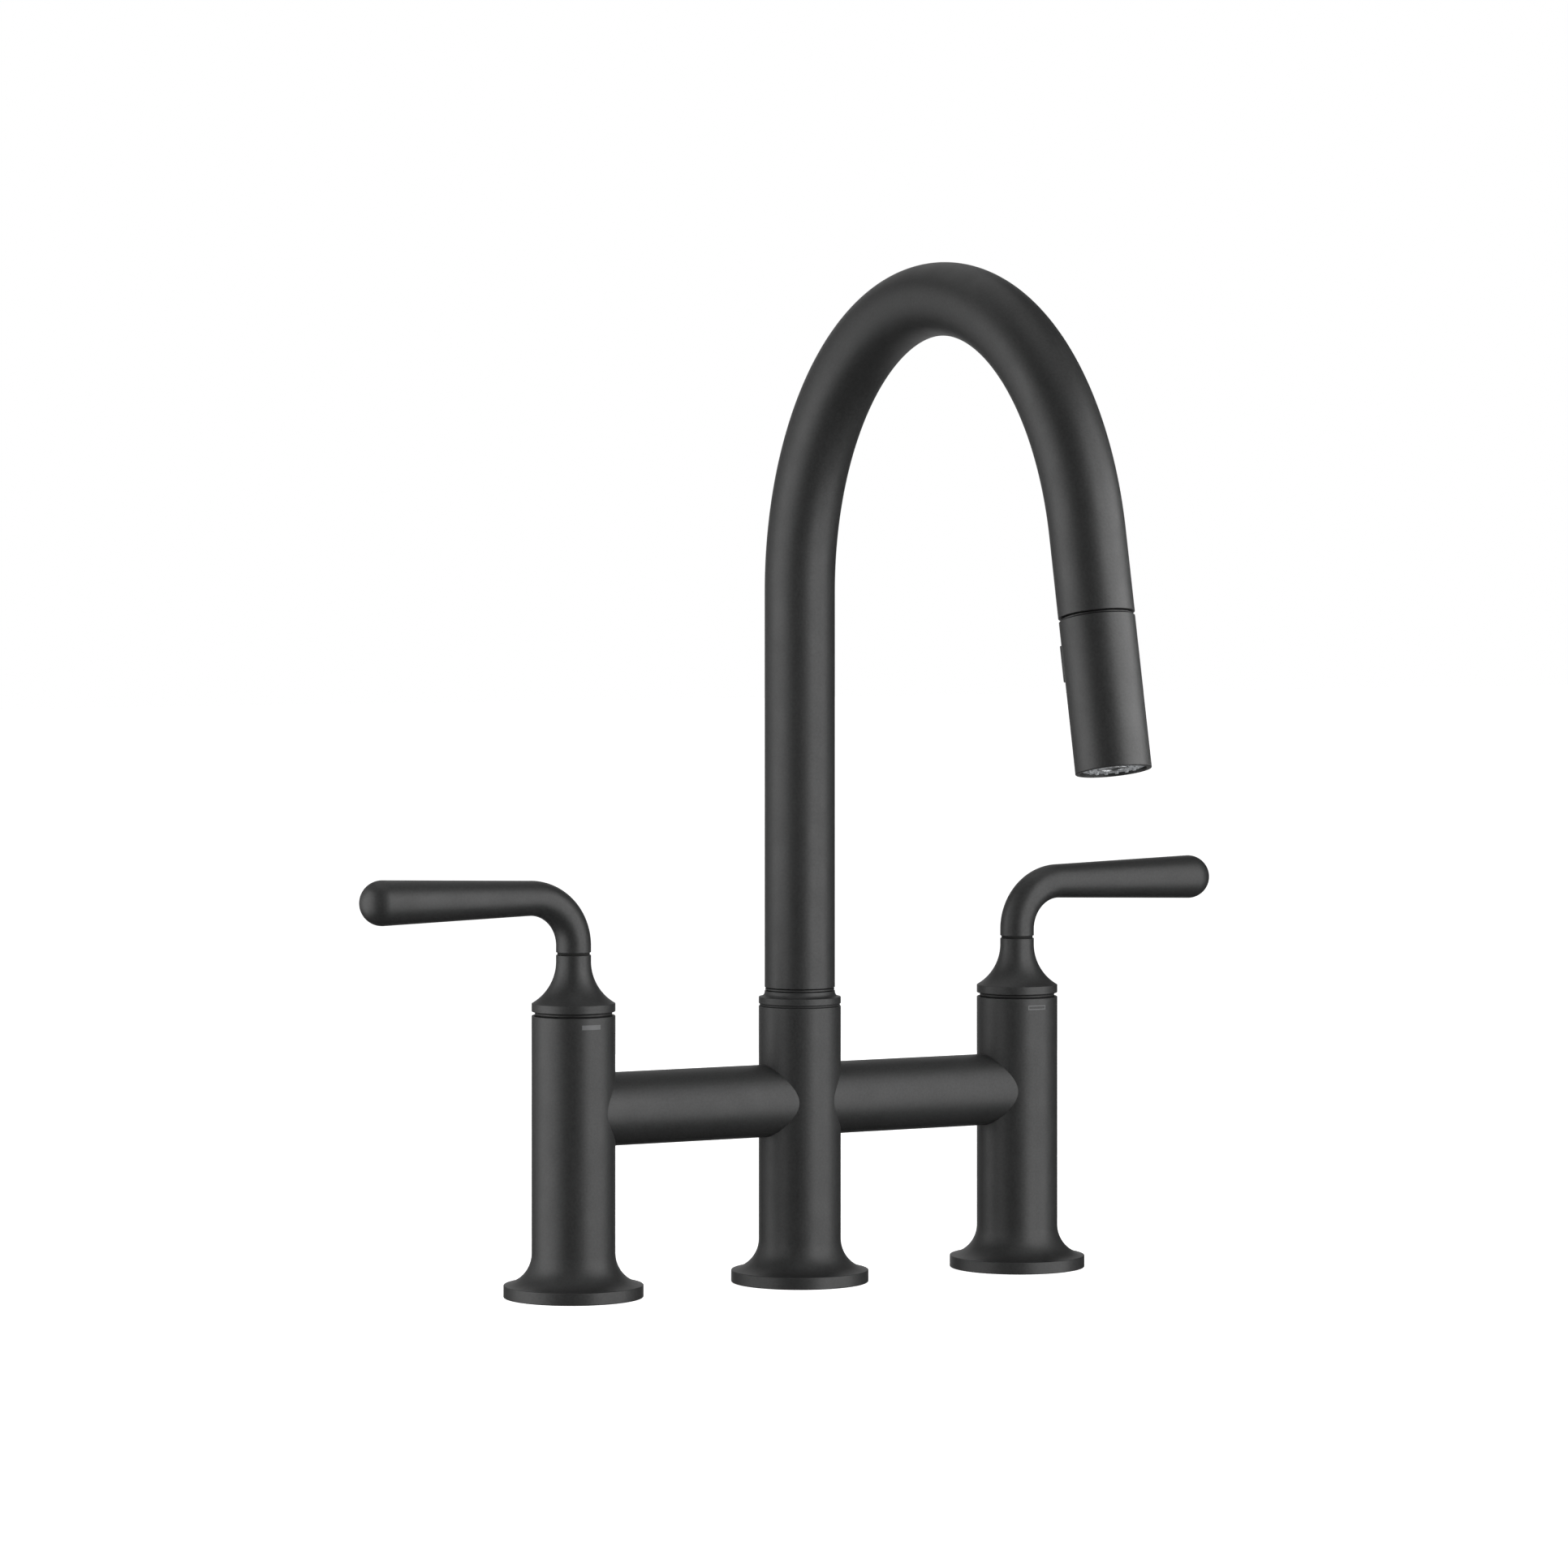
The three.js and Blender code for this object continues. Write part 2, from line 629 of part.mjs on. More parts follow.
// The bush lines the post's socket, and its thin flange carries the spout's collar.
function swivelBush() {
  const bore = shankRadius + REST_GAP;
  const outer = SWIVEL_SOCKET - REST_GAP;
  const flangeLow = POST_HEIGHT + SLIP_GAP;
  const flangeHigh = collarLow - SLIP_GAP;
  return turned([
    [bore, clipHigh + REST_GAP],
    [outer, clipHigh + REST_GAP],
    [outer, flangeLow],
    [BUSH_FLANGE_RADIUS, flangeLow],
    [BUSH_FLANGE_RADIUS, flangeHigh],
    [bore, flangeHigh],
  ]);
}

// ---------------------------------------------------------------- spout

function spoutShank() {
  return turned([
    [shankBore, shankLow],
    [shankRadius, shankLow],
    [shankRadius, clipLow - REST_GAP],
    [CLIP_GROOVE_RADIUS, clipLow - REST_GAP],
    [CLIP_GROOVE_RADIUS, clipHigh + REST_GAP],
    [shankRadius, clipHigh + REST_GAP],
    [shankRadius, spoutLow + SHANK_ENGAGEMENT],
    [shankBore, spoutLow + SHANK_ENGAGEMENT],
  ], INNER_SIDES);
}

function shankClip() {
  return ring(CLIP_GROOVE_RADIUS + REST_GAP, CLIP_RADIUS, clipLow, clipHigh, INNER_SIDES);
}

function spoutCollar() {
  return turned([
    [collarBore, collarLow],
    [POST_RADIUS, collarLow],
    ...flare(SPOUT_RADIUS, POST_RADIUS, collarLow + COLLAR_RIM, COLLAR_COVE, COVE_STEPS),
    [SPOUT_RADIUS, collarHigh],
    [collarBore, collarHigh],
  ]);
}

function trimRing() {
  return ring(collarBore, TRIM_RING_RADIUS, trimRingLow, trimRingHigh);
}

function spoutTube() {
  return swept(gooseneckPath(spoutLow, SPOUT_TAIL), SPOUT_RADIUS, spoutBore, ROUND_SIDES);
}

function sprayHose() {
  const path = gooseneckPath(HOSE_DECK_GAP, hoseTail);
  return swept(path, HOSE_RADIUS, HOSE_RADIUS - HOSE_WALL, HOSE_SIDES);
}

// ---------------------------------------------------------------- dock and spray head
// These pieces stand in the head's own frame: its -Z runs from the bend's end towards the
// outlet, and its +Y points back at the post. Distances count down the axis from the bend.

function headRing(inner, outer, from, to, sides) {
  return ring(inner, outer, -to, -from, sides);
}

function dockSleeve() {
  const outer = spoutBore - REST_GAP;
  const bore = outer - DOCK_RADIAL_WALL;
  const lipEnd = dockHigh + DOCK_LIP_LENGTH;
  return turned([
    [bore, -dockEnd],
    [outer, -dockEnd],
    [outer, -dockHigh],
    [DOCK_LIP_INNER, -dockHigh],
    [DOCK_LIP_INNER, -lipEnd],
    [bore, -lipEnd],
  ], INNER_SIDES);
}

function dockMagnet() {
  const outer = spoutBore - REST_GAP - DOCK_RADIAL_WALL - REST_GAP;
  const start = dockHigh + DOCK_LIP_LENGTH + REST_GAP;
  return headRing(DOCK_LIP_INNER, outer, start, start + MAGNET_LENGTH, SMALL_SIDES);
}

function steelRing() {
  const outer = spoutBore - 2 * REST_GAP;
  return headRing(DOCK_LIP_INNER, outer, steelRingStart, neckStart - REST_GAP, INNER_SIDES);
}

// The neck reaches up into the spout, and its flange fills the groove above the shell.
function headNeck() {
  const stem = spoutBore - 2 * REST_GAP;
  return turned([
    [NECK_BORE, -neckEnd],
    [insertRadius, -neckEnd],
    [insertRadius, -(shellStart - REST_GAP)],
    [NECK_FLANGE_RADIUS, -(shellStart - REST_GAP)],
    [NECK_FLANGE_RADIUS, -(SPOUT_TAIL + REST_GAP)],
    [stem, -(SPOUT_TAIL + REST_GAP)],
    [stem, -neckStart],
    [NECK_BORE, -neckStart],
  ], INNER_SIDES);
}

// A ferrule round the hose's end, with the brass tail that feeds the head.
function hoseConnector() {
  const outer = NECK_BORE - REST_GAP;
  const grip = HOSE_RADIUS + REST_GAP;
  return turned([
    [CONNECTOR_BORE, -connectorEnd],
    [outer, -connectorEnd],
    [outer, -(hoseTail - FERRULE_LENGTH)],
    [grip, -(hoseTail - FERRULE_LENGTH)],
    [grip, -(hoseTail + REST_GAP)],
    [CONNECTOR_BORE, -(hoseTail + REST_GAP)],
  ], SMALL_SIDES);
}

function checkValve() {
  return headRing(VALVE_BORE, NECK_BORE - REST_GAP, valveEnd - VALVE_LENGTH, valveEnd, SMALL_SIDES);
}

// The shell, with the opening that the button comes out of.
function headShell() {
  const width = BUTTON_WIDTH + 2 * REST_GAP;
  const length = BUTTON_LENGTH + 2 * REST_GAP;
  const opening = new THREE.BoxGeometry(width, HEAD_RADIUS, length);
  opening.translate(0, HEAD_RADIUS, -buttonMiddle);
  return cut(headRing(shellBore, HEAD_RADIUS, shellStart, shellEnd), opening);
}

// The water way inside the head, waisted behind the button and bored for its plunger.
function diverterBody() {
  const waistEnd = diverterStart + DIVERTER_WAIST_LENGTH;
  const body = turned([
    [DIVERTER_BORE, -diverterEnd],
    [insertRadius, -diverterEnd],
    [insertRadius, -waistEnd],
    [DIVERTER_WAIST_RADIUS, -waistEnd],
    [DIVERTER_WAIST_RADIUS, -diverterStart],
    [DIVERTER_BORE, -diverterStart],
  ], INNER_SIDES);
  const bore = rod(PLUNGER_RADIUS + REST_GAP, PLUNGER_BORE_FLOOR, HEAD_RADIUS, SMALL_SIDES);
  return cut(body, bore.rotateX(-Math.PI / 2).translate(0, 0, -buttonMiddle));
}

function nozzlePlate() {
  const plate = headRing(PLATE_HOLE, insertRadius, plateFace - PLATE_THICKNESS, plateFace, INNER_SIDES);
  const sink = NOZZLE_HEIGHT / 2;
  const nozzles = Array.from({ length: NOZZLE_COUNT }, (_, index) => {
    const angle = (2 * Math.PI * index) / NOZZLE_COUNT;
    const length = NOZZLE_HEIGHT + sink;
    const cone = new THREE.CylinderGeometry(NOZZLE_BASE_RADIUS, NOZZLE_TIP_RADIUS, length, NOZZLE_SIDES);
    const height = -(plateFace + NOZZLE_HEIGHT / 2 - sink / 2);
    cone.rotateX(Math.PI / 2);
    return cone.translate(NOZZLE_CIRCLE * Math.cos(angle), NOZZLE_CIRCLE * Math.sin(angle), height);
  });
  return join(plate, ...nozzles);
}

function aerator() {
  const face = -(plateFace + AERATOR_PROUD);
  const radius = PLATE_HOLE - REST_GAP;
  return turned([
    [0, face + AERATOR_FACE_DEPTH],
    [AERATOR_FACE_RADIUS, face + AERATOR_FACE_DEPTH],
    [AERATOR_FACE_RADIUS, face],
    [radius, face],
    [radius, face + AERATOR_LENGTH],
    [0, face + AERATOR_LENGTH],
  ], INNER_SIDES);
}

// A crowned plate with a lip at each end, a spring pocket and the diverter's plunger.
function sprayButton() {
  const half = BUTTON_WIDTH / 2;
  const outline = new THREE.Shape();
  outline.moveTo(-half, BUTTON_BACK);
  outline.lineTo(half, BUTTON_BACK);
  outline.lineTo(half, BUTTON_EDGE);
  outline.quadraticCurveTo(0, 2 * BUTTON_CROWN - BUTTON_EDGE, -half, BUTTON_EDGE);
  const plate = new THREE.ExtrudeGeometry(outline, {
    depth: BUTTON_LENGTH,
    bevelEnabled: false,
    curveSegments: CROWN_STEPS,
  }).translate(0, 0, -buttonStart - BUTTON_LENGTH);
  const lipLength = BUTTON_LENGTH + 2 * BUTTON_LIP_REACH;
  const lips = new THREE.BoxGeometry(BUTTON_LIP_WIDTH, BUTTON_LIP_THICKNESS, lipLength);
  lips.translate(0, BUTTON_BACK + BUTTON_LIP_THICKNESS / 2, -buttonMiddle);
  const pocketTop = BUTTON_BACK + SPRING_POCKET_DEPTH;
  const pocket = rod(SPRING_RADIUS + REST_GAP, 0, pocketTop, SMALL_SIDES).rotateX(-Math.PI / 2);
  const plunger = rod(PLUNGER_RADIUS, PLUNGER_TIP, pocketTop + CUT_MARGIN / 2, SMALL_SIDES);
  const cap = cut(join(plate, lips), pocket.translate(0, 0, -buttonMiddle));
  return join(cap, plunger.rotateX(-Math.PI / 2).translate(0, 0, -buttonMiddle));
}

function buttonSpring() {
  const low = DIVERTER_WAIST_RADIUS + REST_GAP;
  const high = BUTTON_BACK + SPRING_POCKET_DEPTH - REST_GAP;
  const body = ring(SPRING_RADIUS - SPRING_WALL, SPRING_RADIUS, low, high, SMALL_SIDES);
  return body.rotateX(-Math.PI / 2).translate(0, 0, -buttonMiddle);
}

// ---------------------------------------------------------------- assembly

// Everything that stands on or in one side post. The left side has side = -1.
function addSide(name, side) {
  const post = new THREE.Group();
  post.position.x = side * POST_SPACING;
  addPiece(post, `${name}_post`, sidePost(-side), 'matteBlack');
  addPiece(post, `${name}_base_seal`, baseSeal(), 'rubber');
  addPiece(post, `${name}_inlet_nipple`, inletNipple(), 'brass');
  addPiece(post, `${name}_cartridge`, cartridge(), 'brass');
  addPiece(post, `${name}_cartridge_nut`, cartridgeNut(), 'brass');
  addPiece(post, `${name}_fixed_disc`, fixedDisc(), 'ceramic');
  addPiece(post, `${name}_moving_disc`, movingDisc(), 'ceramic');
  addPiece(post, `${name}_spindle`, spindle(), 'brass');
  addPiece(post, `${name}_glide_ring`, glideRing(), 'blackPlastic');
  addPiece(post, `${name}_hub`, hub(), 'matteBlack');
  addPiece(post, `${name}_hub_screw`, hubScrew(), 'steel');
  addPiece(post, `${name}_lever_stud`, leverStud(), 'steel');
  const handle = addPiece(post, `${name}_lever`, lever(), 'matteBlack');
  handle.rotation.z = side > 0 ? 0 : Math.PI;
  faucet.add(post);
}

// A bridge tube with the spigot and ring at each of its ends.
function addBridge(name, side) {
  const towardsSide = side > 0 ? 0 : Math.PI;
  const tube = addPiece(faucet, `${name}_bridge_tube`, bridgeTube(side), 'matteBlack');
  tube.position.z = bridgeHeight;
  const ends = [
    { end: 'inner', place: 0, turn: towardsSide, bore: CENTRE_BORE },
    { end: 'outer', place: side * POST_SPACING, turn: Math.PI - towardsSide, bore: SIDE_BORE },
  ];
  for (const { end, place, turn, bore } of ends) {
    const joint = new THREE.Group();
    joint.position.set(place, 0, bridgeHeight);
    joint.rotation.z = turn;
    addPiece(joint, `${name}_${end}_spigot`, spigot(bore), 'brass');
    addPiece(joint, `${name}_${end}_oring`, spigotRing(), 'rubber');
    faucet.add(joint);
  }
}

function addCentre() {
  addPiece(faucet, 'centre_post', centrePost(), 'matteBlack');
  addPiece(faucet, 'centre_base_seal', baseSeal(), 'rubber');
  addPiece(faucet, 'hose_block', hoseBlock(), 'brass');
  addPiece(faucet, 'hose_guide', hoseGuide(), 'greyPlastic');
  addPiece(faucet, 'swivel_bush', swivelBush(), 'blackPlastic');
}

function addSpout() {
  addPiece(faucet, 'spout_tube', spoutTube(), 'matteBlack');
  addPiece(faucet, 'spout_collar', spoutCollar(), 'matteBlack');
  addPiece(faucet, 'spout_trim_ring', trimRing(), 'matteBlack');
  addPiece(faucet, 'spout_shank', spoutShank(), 'brass');
  addPiece(faucet, 'shank_clip', shankClip(), 'steel');
  addPiece(faucet, 'spray_hose', sprayHose(), 'hoseNylon');
}

function addHead() {
  const head = new THREE.Group();
  const across = BEND_RADIUS * (Math.cos(BEND_ANGLE) - 1);
  head.position.set(0, across, RISER_TOP + BEND_RADIUS * Math.sin(BEND_ANGLE));
  head.rotation.x = -headTilt;
  addPiece(head, 'dock_sleeve', dockSleeve(), 'blackPlastic');
  addPiece(head, 'dock_magnet', dockMagnet(), 'steel');
  addPiece(head, 'head_steel_ring', steelRing(), 'steel');
  addPiece(head, 'head_neck', headNeck(), 'blackPlastic');
  addPiece(head, 'hose_connector', hoseConnector(), 'brass');
  addPiece(head, 'check_valve', checkValve(), 'greyPlastic');
  addPiece(head, 'head_shell', headShell(), 'matteBlack');
  addPiece(head, 'diverter_body', diverterBody(), 'greyPlastic');
  addPiece(head, 'nozzle_plate', nozzlePlate(), 'greyPlastic');
  addPiece(head, 'aerator', aerator(), 'steel');
  addPiece(head, 'spray_button', sprayButton(), 'matteBlack');
  addPiece(head, 'button_spring', buttonSpring(), 'steel');
  faucet.add(head);
}

addCentre();
addSide('left', -1);
addSide('right', 1);
addBridge('left', -1);
addBridge('right', 1);
addSpout();
addHead();

export default faucet;
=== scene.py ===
# %% [markdown]
# # A matte black bridge faucet
# Three posts stand on the deck, a short tube bridges each pair of them, and the tall gooseneck
# turns in the middle one. The engineering model gives every piece its place and size, but its
# round pieces are made of a few flat facets. This lesson rebuilds what shows as smooth, softly
# edged meshes in the same places, gives each one a finish, and lights the whole for a picture.

import json
import math

import bmesh
import bpy
from mathutils import Matrix, Vector

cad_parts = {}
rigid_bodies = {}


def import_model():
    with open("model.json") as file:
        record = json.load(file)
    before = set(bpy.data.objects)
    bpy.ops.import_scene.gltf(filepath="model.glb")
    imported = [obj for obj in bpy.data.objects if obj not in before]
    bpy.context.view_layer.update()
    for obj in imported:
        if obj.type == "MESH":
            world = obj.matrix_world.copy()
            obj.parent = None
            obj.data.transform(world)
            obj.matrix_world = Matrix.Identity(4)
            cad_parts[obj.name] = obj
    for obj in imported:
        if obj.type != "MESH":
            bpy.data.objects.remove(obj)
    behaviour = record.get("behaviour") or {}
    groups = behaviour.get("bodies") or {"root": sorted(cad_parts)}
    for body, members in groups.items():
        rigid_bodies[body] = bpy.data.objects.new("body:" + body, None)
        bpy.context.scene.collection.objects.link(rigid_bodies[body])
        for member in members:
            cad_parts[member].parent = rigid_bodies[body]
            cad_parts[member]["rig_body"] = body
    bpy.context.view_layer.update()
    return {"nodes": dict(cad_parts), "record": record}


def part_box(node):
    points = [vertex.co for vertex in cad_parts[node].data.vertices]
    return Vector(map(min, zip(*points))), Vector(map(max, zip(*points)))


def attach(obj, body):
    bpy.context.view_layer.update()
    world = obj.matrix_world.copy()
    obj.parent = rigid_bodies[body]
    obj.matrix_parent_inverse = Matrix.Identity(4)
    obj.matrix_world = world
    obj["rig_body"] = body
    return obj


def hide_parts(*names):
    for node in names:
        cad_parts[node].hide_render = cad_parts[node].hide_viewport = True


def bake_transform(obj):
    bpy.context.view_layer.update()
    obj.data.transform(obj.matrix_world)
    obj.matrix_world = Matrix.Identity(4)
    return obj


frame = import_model()
nodes = frame["nodes"]
MM = 0.001

# %% [markdown]
# ## Camera
# A long lens stands level with the spout's bend and looks at the faucet from the front left. The
# camera isn't tilted, so that the posts stay upright in the picture: the picture's frame is
# shifted down instead, as an architect's camera does it.

# %% Camera
VIEW_TURN = math.radians(-27.9249)
CAMERA_PLACE = (-1.08277, -2.02943, 0.29963)
SENSOR_WIDTH = 36
LENS = 132.672
FRAME_SHIFT = -0.16299


def add_camera():
    data = bpy.data.cameras.new("camera")
    data.sensor_width = SENSOR_WIDTH
    data.lens = LENS
    data.shift_y = FRAME_SHIFT
    made = bpy.data.objects.new("camera", data)
    made.location = CAMERA_PLACE
    made.rotation_euler = (math.pi / 2, 0, VIEW_TURN)
    bpy.context.scene.collection.objects.link(made)
    bpy.context.scene.camera = made
    return made


camera = add_camera()
bpy.context.scene.view_settings.view_transform = "Standard"
print(f"camera {camera.location.xy.length:.2f} m from the middle post")

# %% [markdown]
# ## Building node trees
# Finishes, the background and the bent tubes are all made of nodes. This helper adds a node, sets
# its options by name and its sockets by label, which keeps each tree short enough to read. Two
# more stand for the nodes used most: a step of arithmetic, and a change from range to range.


# %% Node helpers
def add_node(tree, kind, sockets=None, **options):
    """Adds a node. A socket is given a plain value, or an output that is linked to it."""
    node = tree.nodes.new(kind)
    for option, value in options.items():
        setattr(node, option, value)
    for socket, value in (sockets or {}).items():
        if isinstance(value, bpy.types.NodeSocket):
            tree.links.new(value, node.inputs[socket])
        else:
            node.inputs[socket].default_value = value
    return node


def calculate(tree, operation, *values):
    node = add_node(tree, "ShaderNodeMath", dict(enumerate(values)), operation=operation)
    return node.outputs[0]


def remap(tree, value, old_range, new_range):
    """Moves a value from one range to another, and holds it at the ends."""
    sockets = {"From Min": old_range[0], "From Max": old_range[1]}
    sockets |= {"To Min": new_range[0], "To Max": new_range[1], 0: value}
    return add_node(tree, "ShaderNodeMapRange", sockets).outputs[0]


# %% [markdown]
# ## Background and floor
# The picture is white all round. More light would only bleach the paint, so the white is given to
# the rays that look at the background directly, in a mirror or through glass, and everything
# else is lit by a much dimmer room. The floor works the same way, but keeps some of its own pale
# paint, so that the feet still cast a soft shadow on it. The lamps reach below its level, so it
# is hidden from shadow rays, and from mirror rays too, in which it would brighten the feet.

# %% Background and floor
WHITE = (1, 1, 1, 1)
ROOM_LIGHT = 0.22
FLOOR_PAINT = (0.8, 0.8, 0.8, 1)
FLOOR_GLOW = (0.86, 1.0)
GLOW_DISTANCES = (0.3, 0.9)
FLOOR_MIRRORED_GLOW = 0.2
FLOOR_HALF_SIZE = 7


def looked_at(tree, camera_share, mirror_share):
    path = add_node(tree, "ShaderNodeLightPath")
    mirrored = calculate(tree, "ADD", path.outputs["Is Glossy Ray"], path.outputs["Is Transmission Ray"])
    seen = calculate(tree, "MULTIPLY", path.outputs["Is Camera Ray"], camera_share)
    return calculate(tree, "MULTIPLY_ADD", mirrored, mirror_share, seen)


def add_room():
    world = bpy.data.worlds.new("room")
    world.use_nodes = True
    bpy.context.scene.world = world
    tree = world.node_tree
    strength = calculate(tree, "MAXIMUM", looked_at(tree, 1, 1), ROOM_LIGHT)
    tree.links.new(strength, tree.nodes["Background"].inputs["Strength"])
    tree.nodes["Background"].inputs["Color"].default_value = WHITE


def floor_paint():
    pale = bpy.data.materials.new("pale_floor")
    pale.use_nodes = True
    tree = pale.node_tree
    tree.nodes.clear()
    matt = add_node(tree, "ShaderNodeBsdfDiffuse", {"Color": FLOOR_PAINT})
    place = add_node(tree, "ShaderNodeTexCoord").outputs["Object"]
    away = add_node(tree, "ShaderNodeVectorMath", {0: place}, operation="LENGTH")
    white = remap(tree, away.outputs["Value"], GLOW_DISTANCES, FLOOR_GLOW)
    strength = looked_at(tree, white, FLOOR_MIRRORED_GLOW)
    glow = add_node(tree, "ShaderNodeEmission", {"Strength": strength})
    both = add_node(tree, "ShaderNodeAddShader", {0: matt.outputs[0], 1: glow.outputs[0]})
    add_node(tree, "ShaderNodeOutputMaterial", {"Surface": both.outputs[0]})
    return pale


def add_stage(name, places, faces, finish):
    """A piece of the studio, not of the faucet."""
    mesh = bpy.data.meshes.new(name)
    mesh.from_pydata(places, [], faces)
    mesh.materials.append(finish)
    made = bpy.data.objects.new(name, mesh)
    bpy.context.scene.collection.objects.link(made)
    return made


add_room()
half = FLOOR_HALF_SIZE
floor_corners = [(-half, -half, 0), (half, -half, 0), (half, half, 0), (-half, half, 0)]
floor = add_stage("floor", floor_corners, [(0, 1, 2, 3)], floor_paint())
floor.visible_glossy = False
floor.visible_shadow = False
print(f"floor {2 * half} m square at the height of the feet")

# %% [markdown]
# ## Lamps
# Satin black paint shows hardly any colour of its own: what shapes it is the reflection of the
# lamps. Two tall strips stand at the picture's right and draw the brightest bands on every
# upright tube. A wide wall of light at the left gives a broader, softer one, with the dark between
# them that makes the tube look round. Weak lamps behind and above open up the back, and two
# narrow spotlights lift the spray head alone, which hangs nearest to the camera.


# %% Lamps
def around(angle, distance, height):
    """A place round the faucet: 0 degrees is towards the camera, and 90 to the picture's right."""
    bearing = VIEW_TURN + math.radians(angle)
    return Vector((distance * math.sin(bearing), -distance * math.cos(bearing), height))


def hang_lamp(name, kind, place, target, power):
    """A lamp of the given kind at a place, pointed at a target. Returns its settings."""
    data = bpy.data.lights.new(name, kind)
    data.energy = power
    made = bpy.data.objects.new(name, data)
    made.location = place
    made.rotation_euler = (place - target).to_track_quat("Z", "Y").to_euler()
    bpy.context.scene.collection.objects.link(made)
    return data


def add_soft_box(name, place, target, width, height, power):
    data = hang_lamp(name, "AREA", place, target, power)
    data.shape = "RECTANGLE"
    data.size = width
    data.size_y = height


MIDDLE = Vector((0, -0.08, 0.45))
LOW = Vector((0, -0.08, 0.25))
FOOT_LEVEL = Vector((0, -0.08, 0.2))
add_soft_box("key_strip", around(44, 1.0, MIDDLE.z), MIDDLE, width=0.36, height=1.9, power=11.2)
add_soft_box("side_strip", around(80, 1.0, MIDDLE.z), MIDDLE, width=0.4, height=1.9, power=9.3)
add_soft_box("left_wall", around(-70, 0.9, LOW.z), LOW, width=1.04, height=1.3, power=11.6)
add_soft_box("left_back", around(-124, 0.95, LOW.z + 0.1), LOW, width=0.3, height=0.8, power=0.45)
add_soft_box("back_wall", around(-175, 1.0, LOW.z), LOW, width=0.9, height=1.5, power=2.8)
add_soft_box("back_top", around(-150, 0.5, 1.1), FOOT_LEVEL, width=1.0, height=0.5, power=1.3)

# %% Spotlights on the head
HEAD_PLACE = Vector((0, -0.235, 0.215))
SPOT_DISTANCE = 0.7
SPOT_RISE = 0.28
SPOT_CONE = math.radians(19)
SPOT_SOFTNESS = 0.08
SPOT_POWER = 5.6


def add_head_spot(name, angle):
    """A narrow spotlight on the head alone, from the given side and somewhat above."""
    place = HEAD_PLACE + around(angle, SPOT_DISTANCE, SPOT_RISE)
    data = hang_lamp(name, "SPOT", place, HEAD_PLACE, SPOT_POWER)
    data.spot_size = SPOT_CONE
    data.spot_blend = 1.0
    data.shadow_soft_size = SPOT_SOFTNESS


add_head_spot("head_front", 74)
add_head_spot("head_side", 110)
print(f"{len(bpy.data.lights)} lamps")

# %% [markdown]
# ## Black curtain
# A white room all round would also draw a white line along every edge, because even matte paint
# mirrors strongly at a grazing angle. Photographers hang black cloth round such an object, just
# out of the picture. Here the cloth is a deep round pit, open at the top and closed well below
# the floor, and the camera looks through it.

# %% Black curtain
CURTAIN_RADIUS = 1.15
CURTAIN_HIGH = 3.3
CURTAIN_LOW = -0.9
CURTAIN_PANELS = 48
CLOTH_BLACK = (0.03, 0.03, 0.03, 1)


def black_cloth():
    cloth = bpy.data.materials.new("black_cloth")
    cloth.use_nodes = True
    cloth.node_tree.nodes.clear()
    dull = add_node(cloth.node_tree, "ShaderNodeBsdfDiffuse", {"Color": CLOTH_BLACK})
    add_node(cloth.node_tree, "ShaderNodeOutputMaterial", {"Surface": dull.outputs[0]})
    return cloth


def add_curtain():
    places = []
    for panel in range(CURTAIN_PANELS):
        bearing = 360 * panel / CURTAIN_PANELS
        places += [around(bearing, CURTAIN_RADIUS, height) for height in (CURTAIN_LOW, CURTAIN_HIGH)]
    count = 2 * CURTAIN_PANELS
    panels = [(i, (i + 2) % count, (i + 3) % count, i + 1) for i in range(0, count, 2)]
    bottom = tuple(range(0, count, 2))
    return add_stage("curtain", places, panels + [bottom], black_cloth())


curtain = add_curtain()
curtain.visible_camera = False
print(f"curtain {CURTAIN_RADIUS} m from the middle post")

# %% [markdown]
# ## Powder coat
# The black is a baked powder: a hard, slightly grainy skin. Its colour hardly changes, so its
# look comes from a fine bump of half-millimetre grains, and from a roughness that wanders a
# little, which breaks up the long reflections. Noise in the object's own space gives both without
# a seam, and stays with the piece when it moves.

# %% Noise and bumps
finishes = {}
NOISE_SPAN = (0.3, 0.7)


def new_finish(name, sockets):
    """A new finish, with its shader's plain values. Returns its tree and its shader."""
    finish = bpy.data.materials.new(name)
    finish.use_nodes = True
    shader = finish.node_tree.nodes["Principled BSDF"]
    for socket, value in sockets.items():
        shader.inputs[socket].default_value = value
    finishes[name] = finish
    return finish.node_tree, shader


def object_noise(tree, size, detail=3.0, stretch=(1, 1, 1)):
    """Noise whose grains are about size millimetres across, along the piece's own axes."""
    place = add_node(tree, "ShaderNodeTexCoord").outputs["Object"]
    mapping = add_node(tree, "ShaderNodeMapping", {"Vector": place, "Scale": stretch})
    noise = add_node(
        tree,
        "ShaderNodeTexNoise",
        {"Vector": mapping.outputs[0], "Scale": 0.5 / (size * MM), "Detail": detail},
    )
    return noise.outputs[0]


def roughen(tree, shader, noise, low, high):
    """Lets the roughness wander between two values as the noise does."""
    tree.links.new(remap(tree, noise, NOISE_SPAN, (low, high)), shader.inputs["Roughness"])


def tint(tree, shader, noise, dark, light):
    """Lets the colour wander between a dark and a light one as the noise does."""
    ramp = add_node(tree, "ShaderNodeValToRGB", {"Fac": noise})
    for stop, place, colour in zip(ramp.color_ramp.elements, NOISE_SPAN, (dark, light)):
        stop.position = place
        stop.color = (*colour, 1)
    tree.links.new(ramp.outputs[0], shader.inputs["Base Color"])


